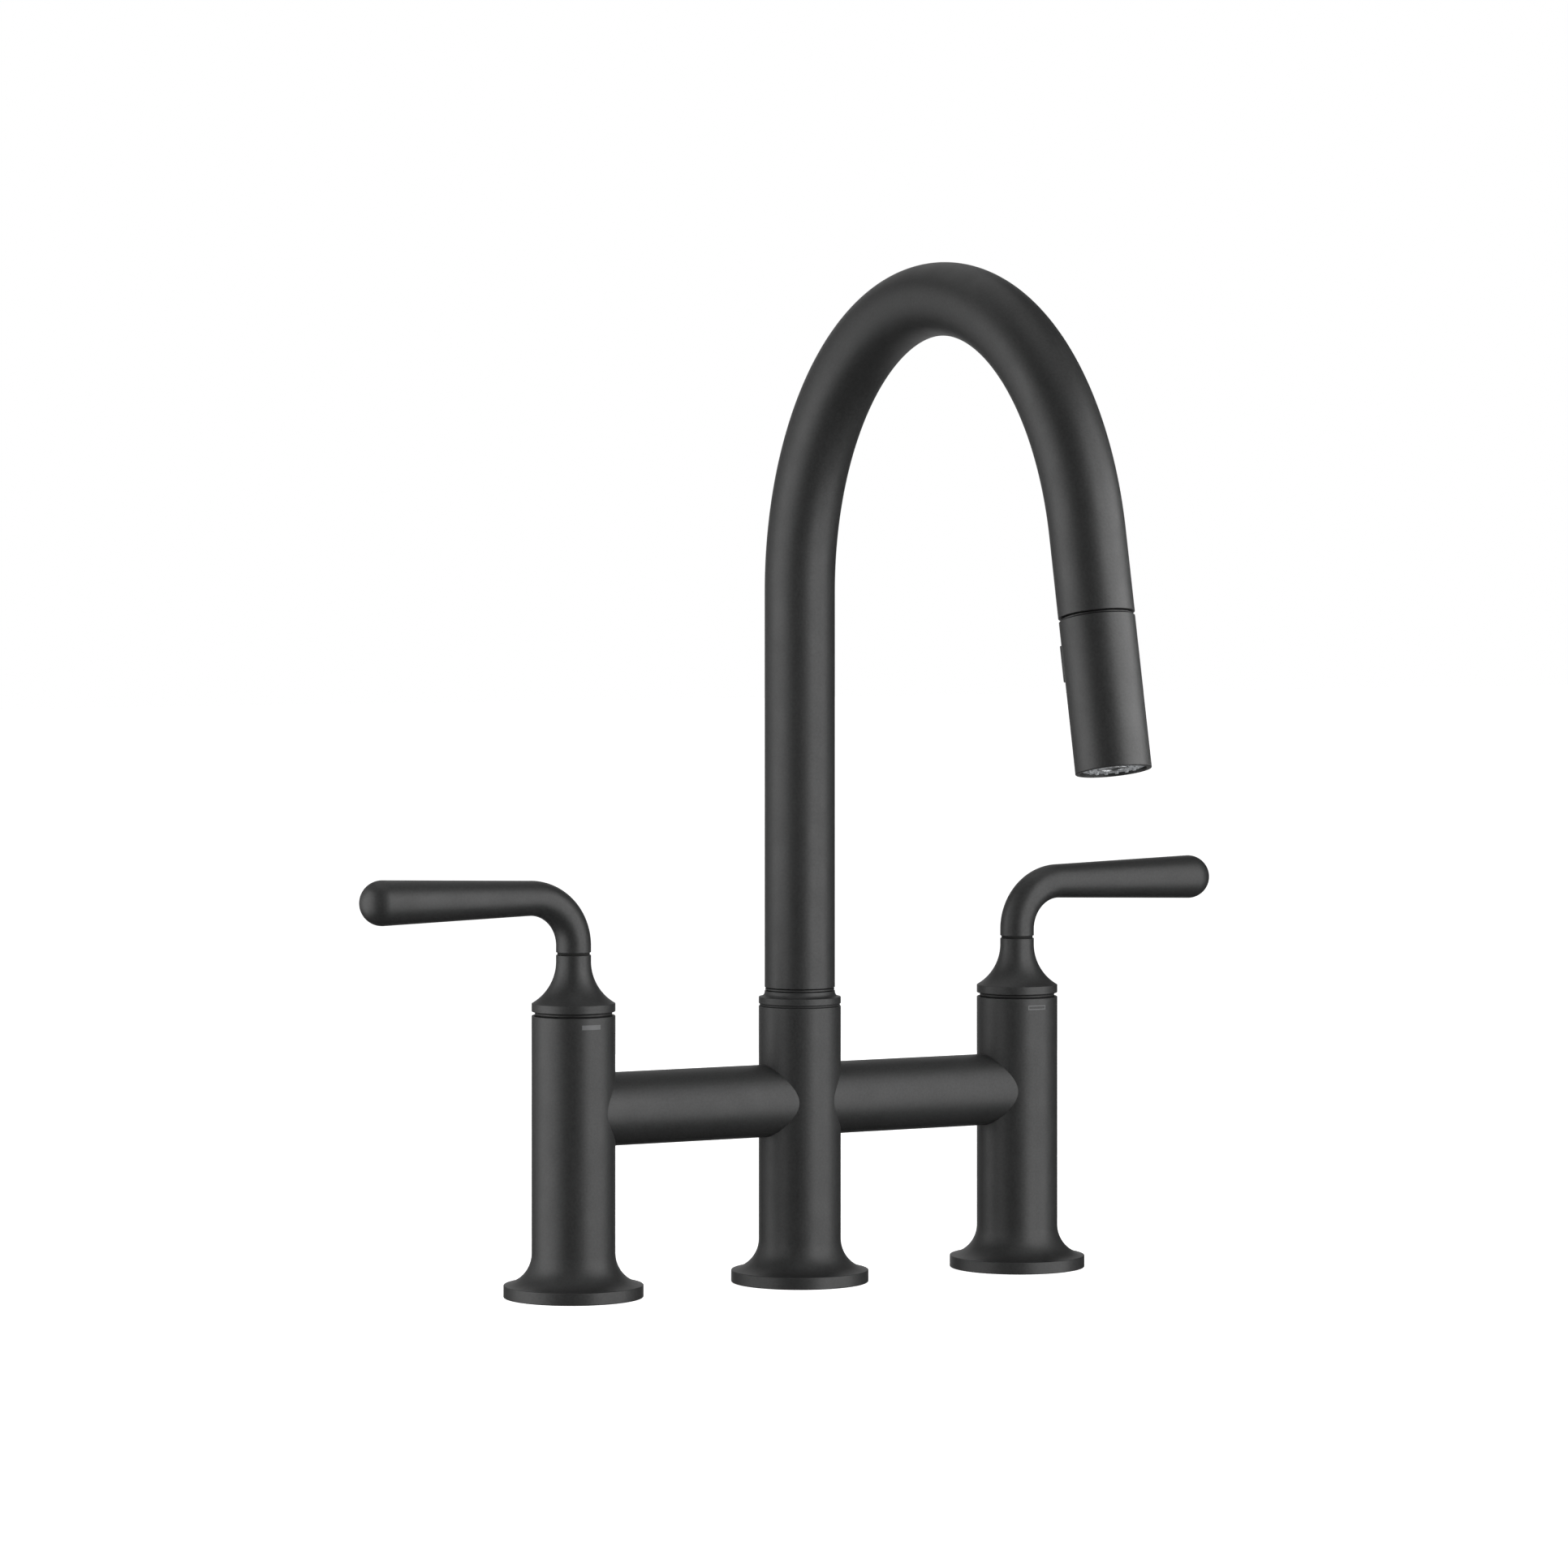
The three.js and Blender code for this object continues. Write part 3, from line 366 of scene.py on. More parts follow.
def dent(tree, shader, height, depth, strength):
    """Bumps the surface by a height map that stands for depth millimetres."""
    sockets = {"Height": height, "Distance": depth * MM, "Strength": strength}
    bump = add_node(tree, "ShaderNodeBump", sockets)
    tree.links.new(bump.outputs[0], shader.inputs["Normal"])


# %% Powder coat
COAT_DARK = (0.009, 0.0092, 0.0092)
COAT_LIGHT = (0.017, 0.0174, 0.0174)
COAT_SPECK = 0.45
COAT_GRAIN = 0.5
COAT_GRAIN_DEPTH = 0.03
COAT_PATCH = 6


def make_powder_coat():
    tree, shader = new_finish("matte_black", {"Specular IOR Level": 0.5})
    tint(tree, shader, object_noise(tree, COAT_SPECK), COAT_DARK, COAT_LIGHT)
    roughen(tree, shader, object_noise(tree, COAT_PATCH), 0.47, 0.53)
    dent(tree, shader, object_noise(tree, COAT_GRAIN, detail=2), COAT_GRAIN_DEPTH, 0.8)


make_powder_coat()
print("finishes:", ", ".join(finishes))

# %% [markdown]
# ## The other finishes
# The rest shows only in grooves, at the spray face, or when a piece is pulled or turned away.
# Turned brass and steel get fine rings by stretching the noise along two axes. Plastics and
# rubber are even, with a faint moulded texture. Sizes of rings and grains are in millimetres. The
# hose is woven from two crossing sets of threads, which two slanted wave patterns make.


# %% Metals
def make_metal(name, dark, light, roughness, ring_size):
    tree, shader = new_finish(name, {"Metallic": 1.0})
    rings = object_noise(tree, ring_size, stretch=(0.08, 0.08, 1))
    tint(tree, shader, rings, dark, light)
    roughen(tree, shader, rings, roughness - 0.06, roughness + 0.08)
    dent(tree, shader, rings, depth=0.01, strength=0.4)


make_metal("brass", (0.34, 0.23, 0.08), (0.52, 0.37, 0.15), roughness=0.38, ring_size=0.4)
make_metal("steel", (0.36, 0.37, 0.38), (0.54, 0.55, 0.56), roughness=0.4, ring_size=0.3)
make_metal("black_oxide", (0.06, 0.062, 0.065), (0.1, 0.103, 0.107), roughness=0.42, ring_size=0.3)


# %% Plastics, rubber and ceramic
def make_moulded(name, dark, light, roughness, grain, depth, gloss=0.45):
    tree, shader = new_finish(name, {"Specular IOR Level": gloss})
    tint(tree, shader, object_noise(tree, 5 * grain), dark, light)
    roughen(tree, shader, object_noise(tree, 3 * grain), roughness - 0.05, roughness + 0.05)
    dent(tree, shader, object_noise(tree, grain), depth, strength=0.5)


# The darkest and the lightest patch of each.
MOULDED_TINTS = {
    "ceramic": ((0.74, 0.73, 0.7), (0.84, 0.83, 0.8)),
    "rubber": ((0.008, 0.008, 0.008), (0.014, 0.014, 0.013)),
    "black_plastic": ((0.009, 0.009, 0.009), (0.015, 0.015, 0.015)),
    "grey_plastic": ((0.19, 0.2, 0.21), (0.29, 0.3, 0.31)),
    "printed_grey": ((0.075, 0.076, 0.078), (0.09, 0.092, 0.094)),
}
make_moulded("ceramic", *MOULDED_TINTS["ceramic"], roughness=0.25, grain=0.2, depth=0.005)
make_moulded("rubber", *MOULDED_TINTS["rubber"], roughness=0.85, grain=0.5, depth=0.03, gloss=0.25)
make_moulded("black_plastic", *MOULDED_TINTS["black_plastic"], roughness=0.55, grain=0.4, depth=0.02)
make_moulded("grey_plastic", *MOULDED_TINTS["grey_plastic"], roughness=0.42, grain=0.4, depth=0.02)
make_moulded("printed_grey", *MOULDED_TINTS["printed_grey"], roughness=0.5, grain=0.4, depth=0.01)

# %% Braided hose
BRAID_SLANT = math.radians(55)
BRAID_SCALE = 140
BRAID_DEPTH = 0.15


def make_braid():
    tree, shader = new_finish("hose_nylon", {"Specular IOR Level": 0.4, "Roughness": 0.6})
    place = add_node(tree, "ShaderNodeTexCoord").outputs["Object"]
    strands = []
    for slant in (-BRAID_SLANT, BRAID_SLANT):
        mapping = add_node(tree, "ShaderNodeMapping", {"Vector": place, "Rotation": (0, slant, 0)})
        sockets = {"Vector": mapping.outputs[0], "Scale": BRAID_SCALE}
        strands.append(add_node(tree, "ShaderNodeTexWave", sockets).outputs["Fac"])
    weave = calculate(tree, "MAXIMUM", *strands)
    tint(tree, shader, weave, (0.02, 0.021, 0.023), (0.12, 0.125, 0.13))
    dent(tree, shader, weave, BRAID_DEPTH, strength=0.6)


make_braid()
print(f"{len(finishes)} finishes")

# %% [markdown]
# ## Carried-over pieces
# Seals, cartridges, spigots and the other inner pieces already have the right shape, so they are
# kept as they are, and only take the finish that the record names for them.

# %% Finish the pieces that are kept
slot_of = {part["node"]: part["material_slot"] for part in frame["record"]["subparts"]}
for name, node in nodes.items():
    node.data.materials.clear()
    node.data.materials.append(finishes[slot_of[name]])
print(f"{len(slot_of)} engineering pieces have a finish")

# %% [markdown]
# ## Sizes from the frame
# The new meshes have to sit exactly where the engineering pieces are, so their main sizes are
# read from the boxes of those pieces. What a box can't tell, such as the height of a foot's rim,
# is written here once in millimetres.


# %% Measure the frame
def size_of(node):
    low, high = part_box(node)
    return low / MM, high / MM


post_low, post_high = size_of("left_post")
hub_low, hub_high = size_of("left_hub")
POST_SPACING = -(post_low.x + post_high.x) / 2
FOOT_RADIUS = (post_high.x - post_low.x) / 2
POST_TOP = post_high.z
POST_RADIUS = (hub_high.x - hub_low.x) / 2
FOOT_RIM = 4.8
FOOT_FLARE = 12.4
print(f"side posts {POST_SPACING:.2f} mm from the middle one, radius {POST_RADIUS:.2f}")
print(f"feet of radius {FOOT_RADIUS:.2f}, posts {POST_TOP:.1f} high")

# %% [markdown]
# ## Turning on a lathe
# Posts, hubs, rings and collars are all turned parts, so one helper makes them: an outline of
# corners is swung round an axis. A real edge is never sharp, and only a rounded one catches the
# thin line of light seen on every rim. Each corner therefore has its own rounding, and a holding
# loop just beyond it keeps the shading of the long faces even.

# %% Lathe helper
ROUNDING_STEPS = 4
HOLD = 0.15
TURNS = 128


def rounded(corners):
    """Closed outline in mm from (radius, height, rounding) corners."""
    outline = []
    for index, corner in enumerate(corners):
        here, size = Vector(corner[:2]), corner[2]
        if size == 0:
            outline.append(here)
            continue
        before = (Vector(corners[index - 1][:2]) - here).normalized()
        after = (Vector(corners[(index + 1) % len(corners)][:2]) - here).normalized()
        half = before.angle(after) / 2
        reach = size / math.tan(half)
        centre = here + (before + after).normalized() * size / math.sin(half)
        start, end = here + before * reach - centre, here + after * reach - centre
        sweep = math.pi - 2 * half
        outline.append(here + before * (reach + HOLD))
        for step in range(ROUNDING_STEPS + 1):
            share = step / ROUNDING_STEPS
            arm = start * math.sin((1 - share) * sweep) + end * math.sin(share * sweep)
            outline.append(centre + arm / math.sin(sweep))
        outline.append(here + after * (reach + HOLD))
    return outline


def flare(neck, rim, low, rise, steps=24):
    """Outline of a concave sweep from a rim up to a narrower neck, where it ends upright."""
    spread = rim - neck
    radius = (spread**2 + rise**2) / (2 * spread)
    sweep = math.atan2(rise, radius - spread)
    corners = []
    for step in range(steps + 1):
        angle = sweep * (1 - step / steps)
        corners.append((neck + radius * (1 - math.cos(angle)), low + rise - radius * math.sin(angle), 0))
    return corners


def add_piece(name, bm, place=None):
    """Turns a bmesh in millimetres into a smooth object in metres at the origin."""
    bmesh.ops.transform(bm, matrix=(place or Matrix()), verts=bm.verts)
    bmesh.ops.remove_doubles(bm, verts=bm.verts, dist=1e-4)
    bmesh.ops.recalc_face_normals(bm, faces=bm.faces)
    mesh = bpy.data.meshes.new(name)
    bm.to_mesh(mesh)
    bm.free()
    mesh.transform(Matrix.Scale(MM, 4))
    mesh.shade_smooth()
    made = bpy.data.objects.new(name, mesh)
    bpy.context.scene.collection.objects.link(made)
    return made


def join_rings(bm, below, above):
    """Faces between two rings that have as many points."""
    for step in range(len(below)):
        after = (step + 1) % len(below)
        bm.faces.new((below[step], below[after], above[after], above[step]))


def turn(name, corners, place=None, turns=TURNS):
    """A turned piece: the closed outline swung round the upright axis."""
    outline = rounded(corners)
    bm = bmesh.new()
    rings = []
    for radius, height in outline:
        ring = []
        for step in range(turns):
            angle = 2 * math.pi * step / turns
            ring.append(bm.verts.new((radius * math.cos(angle), radius * math.sin(angle), height)))
        rings.append(ring)
    for index, ring in enumerate(rings):
        on_axis = outline[index].x == 0 and outline[index - 1].x == 0
        if not on_axis:
            join_rings(bm, rings[index - 1], ring)
    return add_piece(name, bm, place)


# %% Finish and fit a piece
def paint(piece, finish):
    """Gives a piece its finish."""
    piece.data.materials.clear()
    piece.data.materials.append(finishes[finish])


def fit(piece, finish, *replaced, body=None, slot=None):
    """Paints a piece, lets it ride on its body and stand for engineering pieces."""
    paint(piece, finish)
    if replaced:
        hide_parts(*replaced)
    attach(piece, body or nodes[replaced[0]]["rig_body"])
    print(f"{piece.name}: {len(piece.data.polygons)} faces")
    return piece


# %% [markdown]
# ## Posts
# Each post is one turned piece with its foot: a short upright rim, a concave sweep, and a plain
# column. The rim's upper edge is almost crisp and shows as a thin light line. The inside is
# bored as in the engineering model, because the seals and cartridges sit in it.

# %% Posts
SIDE_X = {"left": -POST_SPACING, "right": POST_SPACING}
SEAL_GROOVE = ((19.2, 0), (19.2, 1.9), (24.2, 1.9), (24.2, 0))
SIDE_BORES = ((12.5, 86.55), (11.0, 86.55), (11.0, 30.0), (12.6, 30.0), (12.6, 0.0))
CENTRE_BORES = ((14.4, 85.8), (13.2, 85.8), (13.2, 12.6), (14.6, 12.6), (14.6, 0.0))


def post_outline(bores):
    outside = [(FOOT_RADIUS, 0, 0.35), (FOOT_RADIUS, FOOT_RIM, 0.35)]
    outside += flare(POST_RADIUS, FOOT_RADIUS, FOOT_RIM, FOOT_FLARE)[1:]
    outside += [(POST_RADIUS, POST_TOP, 0.3), (bores[0][0], POST_TOP, 0)]
    return outside + [(radius, height, 0) for radius, height in bores + SEAL_GROOVE]


for side, x in SIDE_X.items():
    piece = turn(f"{side}_post_body", post_outline(SIDE_BORES), Matrix.Translation((x, 0, 0)))
    fit(piece, "matte_black", f"{side}_post")
fit(turn("centre_post_body", post_outline(CENTRE_BORES)), "matte_black", "centre_post")

# %% [markdown]
# ## Bridge tubes
# A bridge tube meets each post in a saddle, the curve where two round pipes cross. Each end of the
# tube is a ring of points on that curve, for its outside and for its bore. The rings lie a little
# inside the post's skin, so that no light shows in the joint, and faces join each to the next.

# %% Bridge tubes
bridge_low, bridge_high = size_of("left_bridge_tube")
BRIDGE_RADIUS = (bridge_high.z - bridge_low.z) / 2
BRIDGE_HEIGHT = (bridge_high.z + bridge_low.z) / 2
BRIDGE_WALL = 3
SADDLE_SINK = 0.6


def saddle_ring(bm, radius, post_x, side):
    """A ring of the tube where it meets the post at post_x, on its left (-1) or right (1) side."""
    ring = []
    for step in range(TURNS):
        angle = 2 * math.pi * step / TURNS
        y = radius * math.cos(angle)
        saddle = math.sqrt((POST_RADIUS - SADDLE_SINK) ** 2 - y**2)
        place = (post_x + side * saddle, y, BRIDGE_HEIGHT + radius * math.sin(angle))
        ring.append(bm.verts.new(place))
    return ring


def bridge_tube(name, from_x, to_x):
    bm = bmesh.new()
    inner_radius = BRIDGE_RADIUS - BRIDGE_WALL
    rings = [saddle_ring(bm, radius, from_x, 1) for radius in (inner_radius, BRIDGE_RADIUS)]
    rings += [saddle_ring(bm, radius, to_x, -1) for radius in (BRIDGE_RADIUS, inner_radius)]
    for index, ring in enumerate(rings):
        join_rings(bm, rings[index - 1], ring)
    piece = add_piece(name, bm)
    piece.data.set_sharp_from_angle(angle=math.radians(50))
    return piece


fit(bridge_tube("left_bridge", -POST_SPACING, 0), "matte_black", "left_bridge_tube")
fit(bridge_tube("right_bridge", 0, POST_SPACING), "matte_black", "right_bridge_tube")

# %% [markdown]
# ## Hubs
# The hub is a bell: an upright rim, a long concave sweep and a straight neck. Below it a thin
# ring lets it turn on the post. It fills the groove up to a slit that is too fine for light to
# shine through. A grub screw holds the hub from behind, so its hole is cut out of the finished
# bell, and the screw itself is a short rod with a six-sided socket.

# %% Drill a hole
def make_real(piece):
    """Applies a piece's modifiers, and leaves it as a plain mesh."""
    shaped = piece.evaluated_get(bpy.context.evaluated_depsgraph_get())
    mesh = bpy.data.meshes.new_from_object(shaped)
    piece.modifiers.clear()
    piece.data = mesh
    mesh.name = piece.name


def drill(piece, radius, start, end, sides=48):
    """Cuts a hole from start to end, two points in millimetres."""
    axis = end - start
    upright_to_axis = axis.to_track_quat("Z", "Y").to_matrix().to_4x4()
    bm = bmesh.new()
    bmesh.ops.create_cone(
        bm, cap_ends=True, segments=sides, radius1=radius, radius2=radius, depth=axis.length
    )
    cutter = add_piece("cutter", bm, Matrix.Translation((start + end) / 2) @ upright_to_axis)
    hole = piece.modifiers.new("hole", "BOOLEAN")
    hole.object = cutter
    hole.operation = "DIFFERENCE"
    hole.solver = "EXACT"
    make_real(piece)
    bpy.data.objects.remove(cutter)
    piece.data.set_sharp_from_angle(angle=math.radians(40))


# %% Hubs and glide rings
HUB_LOW, HUB_HIGH = hub_low.z, hub_high.z
HUB_RIM = 3.2
HUB_BELL = 16.35
NECK_RADIUS = 6.85
HUB_HOLLOW = ((2.8, 125.1), (4.3, 125.1), (4.3, 117.5), (12.4, 112.9))
SCREW_HOLE = 2.2
SCREW_HEIGHT = 120.6
PAST_THE_HUB = 20
GLIDE_BORE = 12.8
SLIT = 0.02


def ring_outline(bore, radius, low, high, rounding):
    return ((bore, low, 0), (radius, low, rounding), (radius, high, rounding), (bore, high, 0))


def hub_outline():
    rim_top = HUB_LOW + HUB_RIM
    outside = [(HUB_HOLLOW[-1][0], HUB_LOW, 0), (POST_RADIUS, HUB_LOW, 0.3)]
    outside += [(POST_RADIUS, rim_top, 0.3)] + flare(NECK_RADIUS, POST_RADIUS, rim_top, HUB_BELL)[1:]
    outside += [(NECK_RADIUS, HUB_HIGH, 0.2), (HUB_HOLLOW[0][0], HUB_HIGH, 0)]
    return outside + [(radius, height, 0) for radius, height in HUB_HOLLOW]


for side, x in SIDE_X.items():
    beside = Matrix.Translation((x, 0, 0))
    hub = turn(f"{side}_bell", hub_outline(), beside)
    hole_start = Vector((x, HUB_HOLLOW[1][0], SCREW_HEIGHT))
    drill(hub, SCREW_HOLE, hole_start, Vector((x, PAST_THE_HUB, SCREW_HEIGHT)))
    fit(hub, "matte_black", f"{side}_hub")
    glide_low, glide_high = size_of(f"{side}_glide_ring")
    glide_radius = (glide_high.x - glide_low.x) / 2
    glide = ring_outline(GLIDE_BORE, glide_radius, POST_TOP + SLIT, HUB_LOW - SLIT, 0)
    fit(turn(f"{side}_glide", glide, beside), "black_plastic", f"{side}_glide_ring")

# %% Grub screws
SOCKET_RADIUS = 1.15
SOCKET_DEPTH = 1.3
SOCKET_SIDES = 6
PAST_THE_SCREW = Vector((0, 5, 0))
QUARTER_TURN = Matrix.Rotation(-math.pi / 2, 4, "X")

for side, x in SIDE_X.items():
    screw_low, screw_high = size_of(f"{side}_hub_screw")
    screw_radius = (screw_high.x - screw_low.x) / 2
    screw_length = screw_high.y - screw_low.y
    rod = ((0, 0, 0), (screw_radius, 0, 0.2), (screw_radius, screw_length, 0.25), (0, screw_length, 0))
    place = Matrix.Translation((x, screw_low.y, SCREW_HEIGHT)) @ QUARTER_TURN
    screw = turn(f"{side}_grub_screw", rod, place, 48)
    socket_end = Vector((x, screw_high.y - SOCKET_DEPTH, SCREW_HEIGHT))
    drill(screw, SOCKET_RADIUS, socket_end, socket_end + PAST_THE_SCREW, SOCKET_SIDES)
    fit(screw, "black_oxide", f"{side}_hub_screw", slot=slot_of[f"{side}_hub_screw"])
print(f"grub screws {screw_length:.2f} mm long, radius {screw_radius:.2f}")

# %% [markdown]
# ## Bent bars
# The gooseneck, the hose inside it and both levers follow the same rule: straight up, round an
# arc, and straight on. Geometry Nodes can write that rule down once. A straight line of points
# is bent by a little sum of sines and cosines, a circle is swept along it, and the radius at each
# point may widen towards a ball at the end. The four pieces then differ in their sizes alone.


# %% The bent line
def arc_point(tree, given, distance, bend_end):
    """Where a point stands that has gone a distance up the rise, round the arc and along the run."""
    height = calculate(tree, "MINIMUM", distance, given["Rise"])
    angle = calculate(tree, "SUBTRACT", distance, given["Rise"])
    angle = calculate(tree, "DIVIDE", angle, given["Bend Radius"])
    angle = calculate(tree, "MINIMUM", calculate(tree, "MAXIMUM", angle, 0), given["Bend Angle"])
    rest = calculate(tree, "MAXIMUM", calculate(tree, "SUBTRACT", distance, bend_end), 0)
    sine, cosine = calculate(tree, "SINE", angle), calculate(tree, "COSINE", angle)
    inward = calculate(tree, "SUBTRACT", 1, cosine)
    inward = calculate(tree, "MULTIPLY", given["Bend Radius"], inward)
    across = calculate(tree, "MULTIPLY_ADD", rest, sine, inward)
    upward = calculate(tree, "MULTIPLY_ADD", given["Bend Radius"], sine, height)
    upward = calculate(tree, "MULTIPLY_ADD", rest, cosine, upward)
    return add_node(tree, "ShaderNodeCombineXYZ", {"X": across, "Z": upward}).outputs[0]


def bent_line(tree, given):
    """The place of every point of the line, and the bar's radius there."""
    index = add_node(tree, "GeometryNodeInputIndex").outputs[0]
    bend_length = calculate(tree, "MULTIPLY", given["Bend Radius"], given["Bend Angle"])
    bend_end = calculate(tree, "ADD", given["Rise"], bend_length)
    length = calculate(tree, "ADD", bend_end, given["Run"])
    along = calculate(tree, "MINIMUM", calculate(tree, "DIVIDE", index, given["Steps"]), 1)
    in_ball = calculate(tree, "MAXIMUM", calculate(tree, "SUBTRACT", index, given["Steps"]), 0)
    turned_by = calculate(tree, "DIVIDE", in_ball, given["Ball Steps"])
    turned_by = calculate(tree, "MULTIPLY", turned_by, math.pi / 2)
    bulge = calculate(tree, "MULTIPLY", given["End Radius"], calculate(tree, "SINE", turned_by))
    distance = calculate(tree, "MULTIPLY_ADD", along, length, bulge)
    radii = (given["Start Radius"], given["End Radius"])
    widening = remap(tree, distance, (bend_end, length), radii)
    radius = calculate(tree, "MULTIPLY", widening, calculate(tree, "COSINE", turned_by))
    return arc_point(tree, given, distance, bend_end), radius


# %% The bent bar tree
def new_tree(name, sizes):
    """A node tree with an input for every size, and for its finish. Returns it and its inputs."""
    tree = bpy.data.node_groups.new(name, "GeometryNodeTree")
    for size, kind in (sizes | {"Finish": "Material"}).items():
        tree.interface.new_socket(size, in_out="INPUT", socket_type="NodeSocket" + kind)
    tree.interface.new_socket("Geometry", in_out="OUTPUT", socket_type="NodeSocketGeometry")
    return tree, add_node(tree, "NodeGroupInput").outputs


def end_tree(tree, given, shape):
    """Makes the shape real, gives it its finish and hands it out."""
    real = add_node(tree, "GeometryNodeRealizeInstances", {"Geometry": shape})
    sockets = {"Geometry": real.outputs[0], "Material": given["Finish"]}
    coated = add_node(tree, "GeometryNodeSetMaterial", sockets)
    add_node(tree, "NodeGroupOutput", {0: coated.outputs[0]})


def bent_bar_tree():
    lengths = ("Rise", "Bend Radius", "Bend Angle", "Run", "Start Radius", "End Radius")
    sizes = dict.fromkeys(lengths, "Float") | dict.fromkeys(("Steps", "Ball Steps", "Sides"), "Int")
    tree, given = new_tree("bent_bar", sizes | {"Closed Ends": "Bool"})
    point, radius = bent_line(tree, given)
    steps = calculate(tree, "ADD", given["Steps"], given["Ball Steps"])
    line = add_node(tree, "GeometryNodeMeshLine", {"Count": calculate(tree, "ADD", steps, 1)})
    sockets = {"Geometry": line.outputs[0], "Position": point}
    bent = add_node(tree, "GeometryNodeSetPosition", sockets)
    curve = add_node(tree, "GeometryNodeMeshToCurve", {"Mesh": bent.outputs[0]})
    sockets = {"Resolution": given["Sides"], "Radius": 1.0}
    circle = add_node(tree, "GeometryNodeCurvePrimitiveCircle", sockets)
    sockets = {"Curve": curve.outputs[0], "Profile Curve": circle.outputs[0]}
    sockets |= {"Scale": radius, "Fill Caps": given["Closed Ends"]}
    skin = add_node(tree, "GeometryNodeCurveToMesh", sockets)
    sockets = {"Geometry": skin.outputs[0], "Distance": 1e-6}
    merged = add_node(tree, "GeometryNodeMergeByDistance", sockets)
    smooth = add_node(tree, "GeometryNodeSetShadeSmooth", {"Geometry": merged.outputs[0]})
    end_tree(tree, given, smooth.outputs[0])
    return tree


bent_bar = bent_bar_tree()
print(f"bent bar tree: {len(bent_bar.nodes)} nodes")


# %% Make a mesh from a tree
def grow(name, tree, sizes, place=None):
    """Runs a node tree with the given sizes and returns its plain mesh, moved into place."""
    made = bpy.data.objects.new(name, bpy.data.meshes.new(name))
    bpy.context.scene.collection.objects.link(made)
    modifier = made.modifiers.new(tree.name, "NODES")
    modifier.node_group = tree
    for item in tree.interface.items_tree:
        if item.item_type == "SOCKET" and item.in_out == "INPUT":
            modifier[item.identifier] = sizes[item.name]
    make_real(made)
    if place:
        made.data.transform(place)
    return made


# %% [markdown]
# ## Gooseneck
# The spout is one drawn tube: it rises from the collar, bends through 168 degrees, and ends in a
# short straight tail that points slightly forwards. Solidify gives it its wall inwards, so that
# the outside keeps its size, and a small bevel breaks the edge at the mouth.

# %% Gooseneck
spout_low, spout_high = size_of("spout_tube")
SPOUT_RADIUS = (spout_high.x - spout_low.x) / 2
SPOUT_WALL = 1.8
BEND_RADIUS = 112.5
BEND_ANGLE = math.radians(168)
SPOUT_TAIL = 30.55
BEND_START = spout_high.z - BEND_RADIUS - SPOUT_RADIUS
FORWARD = Matrix.Rotation(-math.pi / 2, 4, "Z")


def gooseneck(name, finish, low, radius, tail, steps, sides, closed):
    sizes = {
        "Rise": (BEND_START - low) * MM,
        "Bend Radius": BEND_RADIUS * MM,
        "Bend Angle": BEND_ANGLE,
        "Run": tail * MM,
        "Start Radius": radius * MM,
        "End Radius": radius * MM,
        "Steps": steps,
        "Ball Steps": 0,
        "Sides": sides,
        "Closed Ends": closed,
        "Finish": finishes[finish],
    }
    return grow(name, bent_bar, sizes, Matrix.Translation((0, 0, low * MM)) @ FORWARD)


def add_bevel(piece, width, segments=3, angle=50):
    bevel = piece.modifiers.new("bevel", "BEVEL")
    bevel.width = width * MM
    bevel.segments = segments
    bevel.limit_method = "ANGLE"
    bevel.angle_limit = math.radians(angle)
    bevel.harden_normals = True


spout_sizes = {"low": spout_low.z, "radius": SPOUT_RADIUS, "tail": SPOUT_TAIL}
spout = gooseneck("gooseneck", "matte_black", **spout_sizes, steps=300, sides=96, closed=False)
wall = spout.modifiers.new("wall", "SOLIDIFY")
wall.thickness = SPOUT_WALL * MM
wall.offset = -1
add_bevel(spout, 0.3)
fit(spout, "matte_black", "spout_tube")

# %% [markdown]
# ## Levers
# A lever is a cranked rod: a short stub, a tight elbow, and an arm that widens evenly into a ball
# end. It is the same rule as the gooseneck with other sizes. A slightly thinner washer below it
# fills the groove above the hub. It wears the dull, dark rubber finish as painted shade, so that
# the groove reads as one dark line.

# %% Levers
LEVER_GROOVE = 1
LEVER_STUB = 2.6
ELBOW_RADIUS = 19
BALL_RADIUS = 8.82
WASHER_RADIUS = 6.35
WASHER_SINK = 1
LEVER_LOW = HUB_HIGH + LEVER_GROOVE
BALL_REACH = size_of("right_lever")[1].x - POST_SPACING - BALL_RADIUS
lever_sizes = {
    "Rise": LEVER_STUB * MM,
    "Bend Radius": ELBOW_RADIUS * MM,
    "Bend Angle": math.pi / 2,
    "Run": (BALL_REACH - ELBOW_RADIUS) * MM,
    "Start Radius": NECK_RADIUS * MM,
    "End Radius": BALL_RADIUS * MM,
    "Steps": 150,
    "Ball Steps": 20,
    "Sides": 72,
    "Closed Ends": True,
    "Finish": finishes["matte_black"],
}
for side, x in SIDE_X.items():
    outward = Matrix.Rotation(math.pi if side == "left" else 0, 4, "Z")
    place = Matrix.Translation((x * MM, 0, LEVER_LOW * MM)) @ outward
    arm = grow(f"{side}_arm", bent_bar, lever_sizes, place)
    add_bevel(arm, 0.2)
    fit(arm, "matte_black", f"{side}_lever")
    outline = ring_outline(0, WASHER_RADIUS, HUB_HIGH + SLIT, LEVER_LOW + WASHER_SINK, 0.1)
    shaded_washer = turn(f"{side}_arm_shoulder", outline, Matrix.Translation((x, 0, 0)), 72)
    # The washer's dull, dark rubber finish is painted shade in the groove under the lever.
    fit(shaded_washer, "rubber", body=f"{side}_handle")
print(f"ball centres {BALL_REACH:.2f} mm from their posts")

